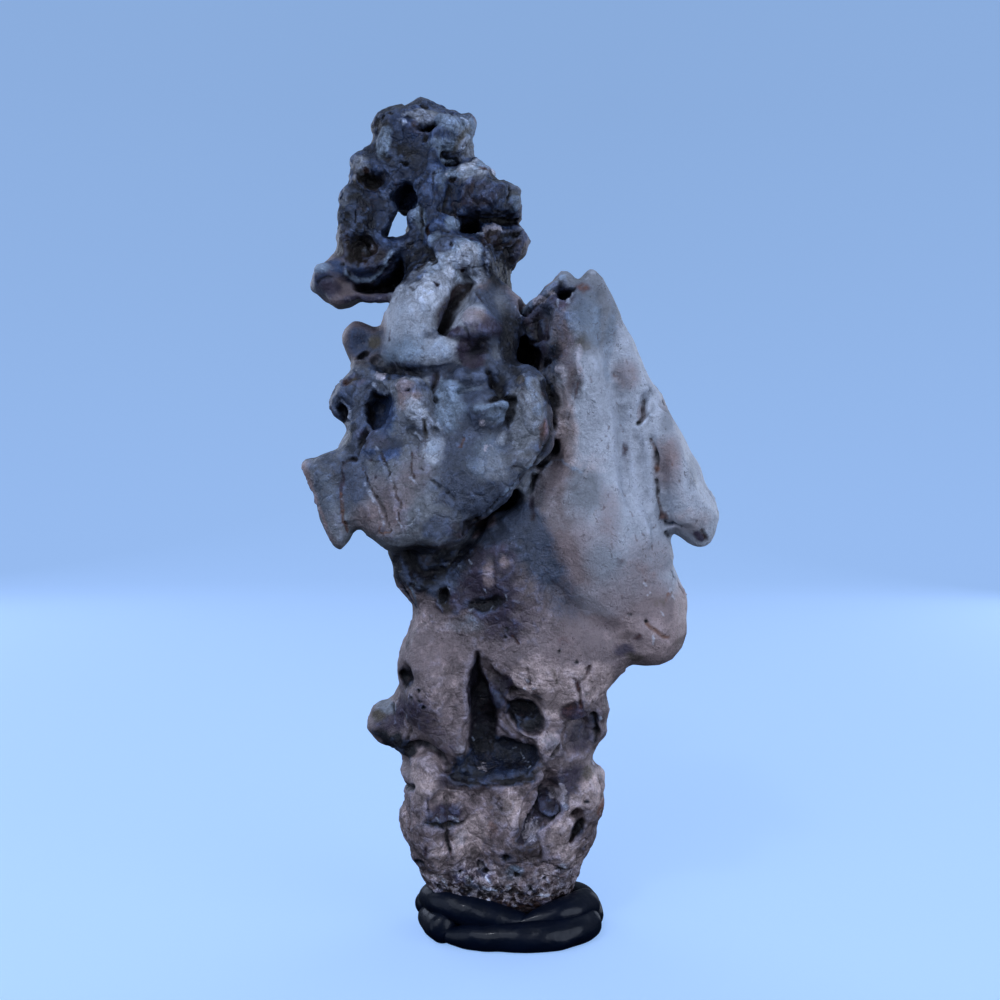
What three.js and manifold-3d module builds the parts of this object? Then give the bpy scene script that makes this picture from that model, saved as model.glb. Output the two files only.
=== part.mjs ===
// A display stone standing in a foot of black modelling putty.
// Millimetres, +Z up, the front faces -Y. The table that the putty rests on is z = 0.
//
// The stone is one natural piece. It is a signed distance (negative inside) put together from
// lobes and lumps, with ridges, hollows and grooves set on its front and back, and a little
// noise; it is then polygonised. The putty is a pad and several rolls, each its own piece, cut
// clear of the stone and of each other.

import * as THREE from 'three';
import Module from 'manifold-3d';
import { ImprovedNoise } from 'three/addons/math/ImprovedNoise.js';
import { SimplifyModifier } from 'three/addons/modifiers/SimplifyModifier.js';
import { MarchingCubes } from 'three/addons/objects/MarchingCubes.js';
import { mergeVertices } from 'three/addons/utils/BufferGeometryUtils.js';

const wasm = await Module();
wasm.setup();

// ---- driving dimensions -------------------------------------------------------------------

const STONE_BOX = { min: [-41, -28, -1], max: [41, 25, 160] };
const STONE_CELL = 1.2; // edge of the polygoniser's cells
const STONE_TRIANGLES = 8300;

const PUTTY_BOX = { min: [-22, -15, -4], max: [22, 14, 14] };
const PUTTY_CELL = 0.8;
const ROLL_TRIANGLES = 220;
const FIT_GAP = 0.5; // clearance between touching pieces

const LOBE_BLEND = 4; // how softly the big lobes run together
const LUMP_BLEND = 3;
const RIDGE_BLEND = 2;
const HOLLOW_BLEND = 1.3;

// ---- distance fields ----------------------------------------------------------------------

const smoothUnion = (a, b, softness) => {
  const overlap = Math.max(softness - Math.abs(a - b), 0) / softness;
  return Math.min(a, b) - (overlap * overlap * softness) / 4;
};

const smoothCut = (body, tool, softness) => -smoothUnion(-body, tool, softness);

/** Distance from (x, z) to a closed outline, positive inside. */
function insideDistance(points, x, z) {
  let nearest = Infinity;
  let inside = false;
  for (let i = 0, j = points.length - 1; i < points.length; j = i++) {
    const a = points[j];
    const b = points[i];
    const ex = b.x - a.x;
    const ez = b.y - a.y;
    const along = ((x - a.x) * ex + (z - a.y) * ez) / (ex * ex + ez * ez);
    const t = Math.min(1, Math.max(0, along));
    const dx = x - a.x - ex * t;
    const dz = z - a.y - ez * t;
    nearest = Math.min(nearest, dx * dx + dz * dz);
    if (a.y > z !== b.y > z && x < a.x + ((z - a.y) * ex) / ez) inside = !inside;
  }
  return inside ? Math.sqrt(nearest) : -Math.sqrt(nearest);
}

/**
 * A rounded lobe seen from the front as its outline. Its rim lies at depth rim.y, which leans by
 * rim.perX and rim.perZ, and it is `front` and `back` thick; `edge` is how far in the rounding runs.
 */
function lobe({ outline, rim, front, back, edge }) {
  const knots = outline.map(([x, z]) => new THREE.Vector3(x, z, 0));
  const curve = new THREE.CatmullRomCurve3(knots, true, 'centripetal');
  const points = curve.getPoints(outline.length * 3).slice(0, -1);
  const box = new THREE.Box3().setFromPoints(points).expandByScalar(edge + 6);
  const { y: rimY, perX = 0, perZ = 0, x: rimX = 0, z: rimZ = 0 } = rim;
  return (x, y, z) => {
    if (x < box.min.x || x > box.max.x || z < box.min.y || z > box.max.y) return 20;
    const side = Math.max(0, 1 - insideDistance(points, x, z) / edge);
    const depth = y - (rimY + perX * (x - rimX) + perZ * (z - rimZ));
    const thick = depth < 0 ? front : back;
    const face = depth / thick;
    const k0 = Math.hypot(side, face);
    const k1 = Math.hypot(side / edge, face / thick);
    return k1 < 1e-6 ? -Math.min(front, back) : (k0 * (k0 - 1)) / k1;
  };
}

/** An ellipsoid at a point, turned about the front-to-back axis by `turn` degrees. */
function ellipsoid({ at, radii, turn = 0 }) {
  const c = Math.cos(THREE.MathUtils.degToRad(turn));
  const s = Math.sin(THREE.MathUtils.degToRad(turn));
  return (x, y, z) => {
    const dx = x - at[0];
    const dz = z - at[2];
    const u = (dx * c + dz * s) / radii[0];
    const v = (y - at[1]) / radii[1];
    const w = (dz * c - dx * s) / radii[2];
    const k0 = Math.hypot(u, v, w);
    const k1 = Math.hypot(u / radii[0], v / radii[1], w / radii[2]);
    return k1 < 1e-6 ? -Math.min(...radii) : (k0 * (k0 - 1)) / k1;
  };
}

/** A round-ended tube along points [x, y, z, radius], straight between them. */
function tube(path) {
  return (x, y, z) => {
    let nearest = Infinity;
    for (let i = 1; i < path.length; i++) {
      const [ax, ay, az, ar] = path[i - 1];
      const [bx, by, bz, br] = path[i];
      const ex = bx - ax;
      const ey = by - ay;
      const ez = bz - az;
      const along = ((x - ax) * ex + (y - ay) * ey + (z - az) * ez) / (ex * ex + ey * ey + ez * ez);
      const t = Math.min(1, Math.max(0, along));
      const gap = Math.hypot(x - ax - ex * t, y - ay - ey * t, z - az - ez * t);
      nearest = Math.min(nearest, gap - (ar + (br - ar) * t));
    }
    return nearest;
  };
}

// ---- the stone's masses -------------------------------------------------------------------

const crown = {
  outline: [
    [-25, 151.8], [-22, 152.8], [-17, 155.4], [-13.5, 153.9], [-10.5, 152.6], [-7.6, 152.2],
    [-7.8, 147], [-6, 143.5], [-3.8, 143], [-3, 140.5], [-0.5, 139], [1.7, 135.5], [1.8, 132],
    [2.4, 129.5], [0.6, 126], [-0.8, 120.8], [-5, 118], [-14, 117], [-23, 119.2], [-31, 118.8],
    [-35, 119], [-36.5, 121.8], [-34.8, 124.5], [-32.6, 127.5], [-31.2, 137], [-28.8, 142.4],
    [-25, 146],
  ],
  rim: { y: -2, perX: 0.1, x: -18, perZ: -0.03, z: 135 },
  front: 6,
  back: 7.5,
  edge: 4.5,
};

const head = {
  outline: [
    [-20, 120], [-17.5, 122.5], [-14, 127.5], [-9.5, 128], [-6, 127], [-4.5, 124], [-2.5, 121],
    [0, 119], [1.5, 117], [1, 114], [-0.5, 110], [-2, 104], [-8, 99], [-18, 99], [-24, 104],
    [-25, 108], [-23, 112], [-22, 116],
  ],
  rim: { y: -7 },
  front: 6,
  back: 10,
  edge: 7,
};

const shoulder = {
  outline: [
    [-21, 106], [-13, 108], [-5, 107], [1, 106], [5, 104.5], [7, 100], [7, 95], [5, 91.5],
    [1, 86.5], [-3, 82], [-7.5, 78], [-10.5, 74.8], [-14, 74], [-16.5, 75], [-19, 74], [-22, 74],
    [-25, 76.5], [-27, 77.5], [-28.5, 76.5], [-29.5, 74], [-30.5, 74], [-32, 76.5],
    [-33.5, 79.5], [-34.5, 82.5], [-36.3, 88.5], [-34, 90.5], [-30, 92], [-28.5, 95.5],
    [-26, 99.5],
  ],
  rim: { y: -15.2, perZ: 0.17, z: 88, perX: -0.05, x: -14 },
  front: 6,
  back: 10,
  edge: 5,
};

const ear = {
  outline: [
    [-25, 107], [-29, 105], [-32, 102], [-33, 99], [-31.5, 95.5], [-29, 92], [-24, 90],
    [-19, 95], [-19, 104],
  ],
  rim: { y: -9.5 },
  front: 5,
  back: 6,
  edge: 4,
};

const sideKnob = {
  outline: [
    [-29, 114.8], [-31.2, 111.8], [-30.2, 108.8], [-28, 107], [-24, 107.5], [-20, 109],
    [-20, 113], [-24.5, 113.2],
  ],
  rim: { y: -7 },
  front: 4,
  back: 4.5,
  edge: 3.5,
};

const wing = {
  outline: [
    [3.5, 117], [5, 119.5], [7.5, 122], [9.2, 122.6], [11.3, 121.6], [13.3, 122.8],
    [15, 121.6], [16.6, 117.8], [18.8, 114.5], [21.8, 108.2], [24.3, 103.5], [26.5, 101],
    [28, 98], [31.5, 91], [34.5, 83.5], [36.4, 77.5], [35.8, 75.3], [34, 74], [30.5, 76],
    [27.5, 76.5], [28, 72.5], [31, 65.5], [31.3, 60], [30.3, 55.5], [27.5, 52.7],
    [24.5, 52.5], [21.5, 53], [18, 50], [14, 46.5], [6, 47], [-2, 58], [-6, 70], [1, 84],
    [7, 92], [7, 101], [4.5, 108], [2, 113],
  ],
  rim: { y: -9.5, perX: 0.08, x: 18 },
  front: 5.5,
  back: 11.5,
  edge: 7,
};

const trunk = {
  outline: [
    [-23, 74], [-22, 69], [-20.6, 65.5], [-18.3, 62.5], [-19.3, 56], [-21, 49], [-21, 45],
    [-19.8, 38], [-19, 33.5], [-19.8, 28.5], [-20, 22], [-18.8, 17], [-17.4, 11], [-15.4, 6.5],
    [-12, 2.8], [8, 2.8], [11, 6.5], [14, 14.5], [15.9, 22], [16.4, 27], [14.6, 32.5],
    [16.5, 38], [17.4, 43], [17, 47], [20, 50.5], [16, 64], [9, 73], [-5, 79],
  ],
  rim: { y: -1.5, perZ: -0.12, z: 30 },
  front: 8.5,
  back: 10.2,
  edge: 10,
};

const lowerKnob = {
  outline: [
    [-19, 45.5], [-24.3, 43.2], [-27.8, 40.2], [-27.8, 38.5], [-25.3, 36], [-23, 33.7],
    [-20, 29.8], [-15, 33], [-15, 43],
  ],
  rim: { y: 1 },
  front: 5,
  back: 5,
  edge: 4,
};

/** Rounded masses that stand out of the lobes. */
const lumps = [
  // crown: top block with its two corners, right shoulder, left foot, neck above the head
  { at: [-21, -4, 148.5], radii: [3.6, 4.6, 3.4] },
  { at: [-12, -3, 148.5], radii: [4, 5.4, 4] },
  { at: [-4, -4.5, 136.8], radii: [4.6, 6, 3.6], turn: -25 },
  { at: [-32, -4, 121.8], radii: [3.8, 5.4, 2.6] },
  { at: [-9.5, -9, 126], radii: [5, 6, 3] },
  // head: the pale dome and the pointed petal beside it
  { at: [-16.2, -9, 114.5], radii: [6, 9.2, 9.6], turn: -22 },
  { at: [-6, -11, 111.2], radii: [4.2, 7, 7.6], turn: 6 },
  { at: [-13, -12, 107.5], radii: [7, 6.4, 3.4] },
  // shoulder: knotty upper edge, the broad slab and the petal by the crevice
  { at: [-16.5, -18.5, 98.5], radii: [3.8, 4.4, 5.2] },
  { at: [-4, -18.5, 97.5], radii: [4.2, 4.4, 3.6], turn: 15 },
  { at: [2.8, -15.4, 97], radii: [4, 6.6, 8.4], turn: 10 },
  { at: [-18, -16.5, 84], radii: [9, 6.2, 8] },
  { at: [-5, -17, 88], radii: [9, 5.6, 6.6], turn: 35 },
  // wing: the long panel with the barb, its upper ridge, the broad belly, the bulge below
  { at: [28.5, -10.6, 86], radii: [4.4, 5.4, 13], turn: 24 },
  { at: [14, -11, 108], radii: [4.5, 6, 13], turn: 8 },
  { at: [15, -9.5, 75], radii: [11, 8.4, 16], turn: 12 },
  { at: [24.5, -9, 59.5], radii: [5.6, 7, 6.6] },
  // trunk: the left column, the upper bulge, the lower bulges on both sides
  { at: [-14, -8.5, 51], radii: [5.4, 6, 10.5] },
  { at: [6, -9.5, 55], radii: [9, 6.2, 7.6], turn: 30 },
  { at: [-14.6, -6.6, 25], radii: [4.4, 5.4, 11] },
  { at: [0, -7, 23], radii: [6.6, 4.6, 8.6] },
  { at: [13, -3.6, 29], radii: [3.2, 5, 3.6] },
  { at: [12.4, -4, 23.5], radii: [3.2, 5, 3.2] },
  { at: [9, -4.5, 17], radii: [3.6, 4.4, 4.4], turn: -30 },
  { at: [15, 1, 42.5], radii: [2.4, 6, 5.6] },
  // back: a long buttress, two shoulders and the spurs between them
  { at: [3, 5, 70], radii: [13, 9, 30], turn: 8 },
  { at: [0, 10.6, 86], radii: [8, 10, 15], turn: -12 },
  { at: [6, 10, 64], radii: [8, 8.6, 13], turn: 10 },
  { at: [-9, -3, 79], radii: [7, 7, 7] },
  { at: [15, 1, 92], radii: [8, 8, 17], turn: 20 },
  { at: [5, 1, 107], radii: [7, 6, 9] },
  { at: [-10, 0, 97], radii: [11, 9, 15], turn: -10 },
  { at: [-16.5, -1, 84], radii: [9, 7, 8] },
  { at: [-8, 3, 117], radii: [8, 5.4, 8] },
  { at: [-7, 3, 38], radii: [9, 8, 13] },
  { at: [8, 3.6, 30], radii: [5.6, 6, 9] },
];

const lobeFields = [trunk, wing, head, shoulder, crown, ear, sideKnob, lowerKnob].map(lobe);
const lumpFields = lumps.map(ellipsoid);

function massField(x, y, z) {
  const lobes = lobeFields.reduce((d, field) => smoothUnion(d, field(x, y, z), LOBE_BLEND), 20);
  return lumpFields.reduce((d, field) => smoothUnion(d, field(x, y, z), LUMP_BLEND), lobes);
}

// ---- relief set on the masses -------------------------------------------------------------

/** The depth at which a straight line from the front (-1) or the back (1) first meets the stone. */
function surfaceDepth(x, z, side) {
  let y = side < 0 ? STONE_BOX.min[1] : STONE_BOX.max[1];
  for (let step = 0; step < 60; step++) {
    const gap = massField(x, y, z);
    if (gap < 0.05) return y;
    y -= side * Math.min(gap, 1);
  }
  return 0;
}

/** Sets a tube [x, z, radius] on the surface, sunk by `sink`, as a path for tube(). */
const onSurface = (side, sink) => (path) =>
  path.map(([x, z, radius]) => [x, surfaceDepth(x, z, side) - side * sink, z, radius]);

/** Sets a hollow { at: [x, z], radii, turn, sink } on the surface, for ellipsoid(). */
const hollowOn = (side) => ({ at: [x, z], radii, turn, sink = 0 }) => ({
  at: [x, surfaceDepth(x, z, side) - side * sink, z],
  radii,
  turn,
});

const frontRidges = [
  // crown: middle column, left arm, shelf over the lower cave, step on the right, lower lip
  [[-12.5, 148, 2], [-15, 141, 2.4], [-15, 134.5, 2.4], [-12.5, 129, 2.2]],
  [[-27.6, 143, 1.8], [-29.3, 135.5, 2.2], [-29.4, 130, 2]],
  [[-33, 123, 1.8], [-28, 124, 1.6], [-23.5, 125.6, 1.5], [-19.5, 129, 1.6]],
  [[-6, 130.2, 1.1], [0.8, 131, 1]],
  [[-32, 119.6, 1.2], [-24, 119.6, 1.2]],
  // head: ridge running down to the notch
  [[-5.6, 124, 1.9], [-2.4, 119.5, 2], [-0.2, 115, 2], [-1.4, 109, 1.8]],
  // shoulder: nub with crystals, rib on the pale petal
  [[-5.6, 98.4, 1.6], [-2.6, 98.4, 1.5]],
  [[2.4, 102, 1.5], [4.4, 95, 1.8], [2, 89.5, 1.5]],
  // wing: rib on the left, the fold down the middle, hem of the barb panel
  [[7.6, 116, 1.4], [10.7, 111.5, 1.8], [11.4, 104.5, 1.8], [9.8, 96, 1.8]],
  [[14.4, 120.5, 1.6], [19.4, 110, 2], [22, 103, 2], [23.6, 98, 1.7]],
  [[26.6, 96, 1.5], [28.2, 88, 2], [30.6, 80, 2]],
  // trunk: edge of the upper bulge, ribs around the scoop and the slot
  [[13, 47, 1.6], [10.9, 42, 1.7], [8.4, 37.4, 1.5]],
  [[-3, 47.5, 1.2], [-1, 41.5, 1.5], [5.4, 36.8, 1.3]],
  [[-11.6, 33, 1.3], [-4, 31, 1.5], [5, 32, 1.4]],
  [[10.8, 27, 1.3], [7.6, 22.3, 1.6], [5.4, 18.4, 1.5]],
];

const backRidges = [
  [[-8, 108, 3], [-3, 92, 3], [2, 76, 3], [3, 58, 3], [0, 42, 2.6]],
  [[18, 104, 2.2], [19, 88, 2.6], [15, 70, 2.6], [13, 54, 2.4]],
  [[-18, 98, 2.4], [-17, 84, 2.4], [-12, 66, 2.2]],
  [[-30, 128, 1.8], [-24, 140, 2], [-16, 148, 2]],
];

const frontHollows = [
  // crown
  { at: [-14.5, 149.2], radii: [2.3, 3, 1.4] },
  { at: [-25.6, 140.2], radii: [3.2, 3, 2.2], turn: -25 },
  { at: [-11, 143.2], radii: [2, 3, 1.2] },
  { at: [-19.4, 136.6], radii: [2.8, 5.5, 3], turn: 30, sink: 1 },
  { at: [-8, 131.8], radii: [2.7, 5, 1.9], sink: 1 },
  { at: [-0.6, 126], radii: [3.4, 2.6, 4.4] },
  { at: [-26.8, 127.4], radii: [2.4, 3.2, 2.3] },
  { at: [-21.6, 122.8], radii: [2.6, 4.5, 1.9], turn: 25, sink: 1 },
  // side knob, ear and the square-cut cave by it
  { at: [-26.8, 110.2], radii: [1.6, 2.4, 1.7] },
  { at: [-30.2, 98.3], radii: [1.5, 2.8, 2.2], turn: -15 },
  { at: [-23.5, 98.4], radii: [2.2, 4.6, 4.2], turn: -8, sink: 0.8 },
  // notch and cave at the head of the crevice, cave between the wing's tips
  { at: [1.8, 110], radii: [2.8, 4.6, 5.2], sink: 1 },
  { at: [4.2, 113.4], radii: [2.6, 4, 3.6], sink: 0.5 },
  { at: [8.6, 118.4], radii: [1.8, 3.4, 1.4], turn: -30 },
  { at: [-1.8, 93.6], radii: [1.5, 2.2, 2] },
  { at: [-7.4, 106.8], radii: [2, 2.2, 2.6] },
  // trunk: scoop with its upper wedge and dark patch, ledged cavity, slot, hole, side facet
  { at: [-5.6, 48], radii: [2.2, 3.2, 6.4] },
  { at: [-4, 40], radii: [5, 4, 5] },
  { at: [-2, 36.8], radii: [7.2, 4.6, 3.8] },
  { at: [1.8, 45.4], radii: [3.4, 3, 2.6], turn: -30 },
  { at: [-12.2, 27.4], radii: [3.2, 3, 2.1] },
  { at: [6.2, 28.6], radii: [2.4, 4, 2.6], turn: 20 },
  { at: [11.4, 24.8], radii: [1.9, 4, 1.3], turn: 40 },
  { at: [12.6, 39.4], radii: [4.4, 3.8, 4.6], turn: 30 },
  { at: [-19.4, 50], radii: [1.5, 3, 2.4] },
  { at: [-22.4, 34], radii: [2.6, 3, 2] },
  { at: [-12, 65.2], radii: [1.6, 1.8, 1.4] },
];

const backHollows = [
  { at: [9, 92], radii: [4.6, 5, 8.6], turn: 15 },
  { at: [-9, 80], radii: [4.2, 5, 7.6], turn: -20 },
  { at: [9, 60], radii: [3.4, 4, 6] },
  { at: [-6, 54], radii: [4, 3.6, 6], turn: 20 },
  { at: [-17, 108], radii: [4.4, 4, 4.6] },
  { at: [-25, 132], radii: [3.4, 3.4, 4.4] },
  { at: [-10, 140], radii: [4.4, 3.4, 3.4] },
  { at: [24, 70], radii: [4.4, 4.6, 5.4] },
  { at: [2, 24], radii: [4, 3, 4.6] },
  { at: [-12, 30], radii: [3, 2.6, 3.4] },
];

/** Clefts and crevices, sunk below the surface. */
const frontClefts = [
  // crown: under the right shoulder, beside the tooth, under the shelf
  [[-8, 132, 1.5], [-3, 132.4, 1.6], [1.2, 133.4, 1.3]],
  [[-5.2, 130, 1.1], [-4.6, 126, 1.3], [-3.4, 121.6, 1.3]],
  [[-30, 121, 1.3], [-25.4, 121.4, 1.6], [-21, 124, 1.6]],
  // head: brown cleft beside the petal, crease below the dome, crease above the nubs
  [[-8.8, 122.6, 1.3], [-8.5, 118, 2.1], [-10.9, 113, 1.9], [-13, 110.8, 1.2]],
  [[-24, 106.8, 1.2], [-18, 104.4, 1.5], [-12, 104.2, 1.4], [-8.4, 106.8, 1.6]],
  [[-9, 101.2, 1.2], [-3, 102.6, 1.5], [0.4, 105, 1.5]],
  // the crevice from the notch down to the underside of the slab, with its side branch
  [[1.1, 116, 1.6], [1.4, 109.5, 2], [5.4, 104.6, 1.7], [7.6, 99.8, 1.3], [7.9, 95.4, 1.3]],
  [[7.9, 95.4, 1.4], [6.8, 90, 2], [3.4, 87.2, 1.6], [0.6, 83.6, 1.3], [-2.2, 81, 1.3]],
  [[-2.2, 81, 1.2], [-6.6, 77.4, 1.7], [-9.6, 74, 1.5], [-14.6, 72.4, 1.5], [-20, 72.2, 1.4]],
  [[3.8, 87.4, 1.1], [3.4, 82.6, 1.1]],
  // trunk: slot, crease from the left notch into the scoop
  [[6, 32, 1.4], [3.9, 27.4, 1.7], [1.6, 21.6, 1.4]],
  [[-19, 35.4, 1.2], [-15.6, 37.4, 1.2], [-11.6, 34, 1.4]],
];

/** Creases whose middle lies on the surface. */
const frontCreases = [
  [[-22.6, 137.5, 1.3], [-24.8, 131.5, 1.5]],
  [[-10.4, 139.5, 1.1], [-11.2, 134, 1.2]],
  [[-25.2, 94, 1.2], [-27.8, 91, 1.2], [-28.8, 87, 1.1], [-29.1, 81, 1.1]],
  [[-12.9, 103, 1.3], [-12.4, 98, 1.3]],
  [[0.2, 99, 1.1], [-0.8, 92.6, 1.2]],
  [[23.4, 101, 1.1], [22.8, 96.4, 1.2], [21.2, 95, 1.1]],
  [[24.3, 92.6, 1], [25.2, 89, 1.1], [25.8, 82.4, 1.2], [26.8, 78, 1.2]],
  [[-11.4, 25, 1.1], [-11.4, 18.4, 1.1]],
  [[15, 46.2, 1], [14.2, 39, 1.2]],
];

/** Wide, shallow troughs whose middle lies above the surface. */
const frontTroughs = [
  [[13.4, 117, 1.6], [16.4, 109.3, 2.6], [18, 101.5, 2.8], [19.8, 92, 2.8], [22.4, 82.4, 2.4]],
  [[6, 68, 2.4], [12, 62, 3], [20, 57, 2.6]],
  [[-25.5, 89.3, 2], [-23.4, 84, 2.2], [-20.7, 78.4, 2]],
  [[-17.5, 93, 2], [-16.3, 85.6, 2.2], [-13.6, 79, 2]],
  [[-19.6, 71, 2.2], [-12, 68, 2.6], [-4, 65, 2.2]],
  [[-9.4, 60, 2.2], [-9.8, 50, 2.6], [-11, 42, 2.2]],
  [[-8.6, 24, 2.2], [-7.4, 14, 2.4]],
  [[7, 101, 2], [6.8, 96, 2]],
];

const backClefts = [
  [[-14, 104, 1.6], [-9.5, 90, 1.8], [-6, 72, 1.8], [-6, 58, 1.5]],
  [[10, 100, 1.6], [11, 84, 1.8], [9, 68, 1.6], [8, 50, 1.6]],
  [[-20, 122, 1.6], [-10, 126, 1.6], [-2, 124, 1.4]],
];

/** The window through the crown: a slanted hole that shifts by `slant` per millimetre of depth. */
const crownWindow = {
  outline: [
    [-23.9, 131], [-20.8, 131.1], [-18.9, 132], [-18.4, 134], [-19.2, 135.6], [-21.2, 136.2],
    [-22.8, 135],
  ],
  slant: [-0.1, 0.22],
};

function throughHole({ outline, slant }) {
  const points = outline.map(([x, z]) => new THREE.Vector2(x, z));
  return (x, y, z) => insideDistance(points, x - slant[0] * y, z - slant[1] * y) * -1;
}

const FRONT = -1;
const BACK = 1;
const RIDGE_SINK = 0.6;
const CLEFT_SINK = 0.7;
const TROUGH_SINK = -1.3;

const ridgeFields = [
  ...frontRidges.map(onSurface(FRONT, RIDGE_SINK)),
  ...backRidges.map(onSurface(BACK, RIDGE_SINK)),
].map(tube);

const cutFields = [
  ...frontHollows.map(hollowOn(FRONT)).map(ellipsoid),
  ...backHollows.map(hollowOn(BACK)).map(ellipsoid),
  ...frontClefts.map(onSurface(FRONT, CLEFT_SINK)).map(tube),
  ...frontCreases.map(onSurface(FRONT, 0)).map(tube),
  ...frontTroughs.map(onSurface(FRONT, TROUGH_SINK)).map(tube),
  ...backClefts.map(onSurface(BACK, 0)).map(tube),
  throughHole(crownWindow),
];

const noise = new ImprovedNoise();
const wrinkle = (x, y, z, size, shift) =>
  noise.noise(x / size + shift, y / size - shift, z / size + 2 * shift);

/** How knotty the surface is: the crown and the crystalline foot most, the wing least. */
function knottiness(x, z) {
  const high = THREE.MathUtils.smoothstep(z, 112, 124);
  const low = 1 - THREE.MathUtils.smoothstep(z, 14, 40);
  const wingSide = THREE.MathUtils.smoothstep(x, 4, 12) * (1 - high) * (1 - low);
  return 0.8 + 0.3 * high + 0.3 * low - 0.45 * wingSide;
}

function stoneField(x, y, z) {
  const mass = massField(x, y, z);
  if (mass > 4) return mass;
  const ridged = ridgeFields.reduce((d, field) => smoothUnion(d, field(x, y, z), RIDGE_BLEND), mass);
  const carved = cutFields.reduce((d, field) => smoothCut(d, field(x, y, z), HOLLOW_BLEND), ridged);
  const rough = 0.8 * wrinkle(x, y, z, 11, 3.1) + 0.5 * wrinkle(x, y, z, 5, 7.7);
  return carved + knottiness(x, z) * rough;
}

// ---- polygonising -------------------------------------------------------------------------

/** Samples a field on cubic cells and returns its zero surface as an indexed geometry. */
function surfaceOf(field, { min, max }, cell) {
  const middle = min.map((low, axis) => (low + max[axis]) / 2);
  const longest = Math.max(...min.map((low, axis) => max[axis] - low));
  const size = Math.ceil(longest / cell) + 3;
  const cubes = new MarchingCubes(size, undefined, false, false, 120000);
  cubes.isolation = 0;
  cubes.field.fill(-20);
  const place = (index, axis) => middle[axis] + (index - size / 2) * cell;
  const smallest = cell * 0.08; // keeps the surface off the grid points, so no sliver triangles
  for (let k = 0; k < size; k++) {
    const z = place(k, 2);
    if (z < min[2] || z > max[2]) continue;
    for (let j = 0; j < size; j++) {
      const y = place(j, 1);
      if (y < min[1] || y > max[1]) continue;
      for (let i = 0; i < size; i++) {
        const x = place(i, 0);
        if (x < min[0] || x > max[0]) continue;
        const value = -field(x, y, z);
        const kept = Math.max(Math.abs(value), smallest);
        cubes.field[(k * size + j) * size + i] = value < 0 ? -kept : kept;
      }
    }
  }
  cubes.update();
  const positions = cubes.geometry.getAttribute('position').array.slice(0, cubes.count * 3);
  const geometry = new THREE.BufferGeometry();
  geometry.setAttribute('position', new THREE.BufferAttribute(positions, 3));
  const half = (size * cell) / 2;
  geometry.scale(half, half, half);
  geometry.translate(...middle);
  return mergeVertices(geometry, 1e-3);
}

async function simplified(geometry, triangles) {
  const vertices = geometry.getAttribute('position').count;
  const kept = triangles / 2;
  return kept < vertices ? new SimplifyModifier().modify(geometry, vertices - kept) : geometry;
}

function solidOf(geometry) {
  const vertProperties = new Float32Array(geometry.getAttribute('position').array);
  const triVerts = new Uint32Array(geometry.getIndex().array);
  return new wasm.Manifold(new wasm.Mesh({ numProp: 3, vertProperties, triVerts }));
}

function geometryOf(solid) {
  const mesh = solid.getMesh();
  const geometry = new THREE.BufferGeometry();
  geometry.setAttribute('position', new THREE.BufferAttribute(mesh.vertProperties, 3));
  geometry.setIndex(new THREE.BufferAttribute(mesh.triVerts, 1));
  return geometry;
}

/** A box solid that fills everything below the table top. */
function belowTable() {
  const geometry = new THREE.BoxGeometry(100, 100, 20);
  geometry.deleteAttribute('normal');
  geometry.deleteAttribute('uv');
  geometry.translate(0, 0, -10);
  return solidOf(mergeVertices(geometry));
}

// ---- the putty foot -----------------------------------------------------------------------

/** Rolls as [x, y, z, radius], in the order in which each keeps its own shape. */
const rolls = {
  putty_front_roll: [
    [-11.6, -7.6, 1.9, 1.5], [-8, -8.6, 2.1, 2.4], [-2, -9.2, 2.2, 2.8], [5, -9.2, 2.2, 3],
    [11, -7.2, 2.4, 2.9], [14.2, -4, 2.7, 2.8],
  ],
  putty_left_knob: [[-12.9, -6, 3, 3.2], [-15.2, -1.5, 2.4, 2.8], [-15.8, 2.6, 1.8, 2.2]],
  putty_right_roll: [
    [1.4, -8, 4.2, 1], [6, -7, 5, 2.1], [10.5, -5.2, 5.6, 2.7], [14, -2, 5.4, 2.8],
  ],
  putty_left_roll: [
    [-15.6, -1, 6.6, 2.5], [-12.8, -5, 6.8, 2.9], [-7, -6.8, 5.9, 2.9], [-1.4, -7, 4.6, 2.5],
    [3, -6.6, 3.2, 1.8],
  ],
  putty_back_left_roll: [
    [-16.4, 1, 4.4, 2.4], [-15, 5, 3.4, 2.9], [-10.5, 8.2, 2.2, 3], [-4, 9.6, 1.8, 2.9],
    [0.6, 9.8, 1.8, 2.4],
  ],
  putty_back_right_roll: [
    [15.4, 0.4, 2, 2.2], [13.8, 4, 4.2, 3], [9.6, 7.8, 2.4, 3], [3, 9.2, 1.9, 2.7],
  ],
};

const pad = { at: [-1, 1, 0.2], radii: [14.5, 8.6, 2.6] };

const puttyMaterial = new THREE.MeshStandardMaterial({ color: '#10151f', roughness: 0.4, metalness: 0 });

/** Polygonises a putty piece, trims it flat on the table and keeps its largest part. */
async function puttyPiece(name, field, triangles) {
  const surface = surfaceOf(field, PUTTY_BOX, PUTTY_CELL);
  const rough = await simplified(surface, triangles);
  const parts = solidOf(rough).subtract(belowTable()).decompose();
  const largest = parts.reduce((a, b) => (b.volume() > a.volume() ? b : a));
  const mesh = new THREE.Mesh(geometryOf(largest), puttyMaterial);
  mesh.name = name;
  return mesh;
}

// ---- the object ---------------------------------------------------------------------------

const object = new THREE.Group();

const stoneMaterial = new THREE.MeshStandardMaterial({ color: '#b9b4b0', roughness: 0.35, metalness: 0 });
const stoneSurface = surfaceOf(stoneField, STONE_BOX, STONE_CELL);
const stone = new THREE.Mesh(await simplified(stoneSurface, STONE_TRIANGLES), stoneMaterial);
stone.name = 'stone';
object.add(stone);

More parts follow.
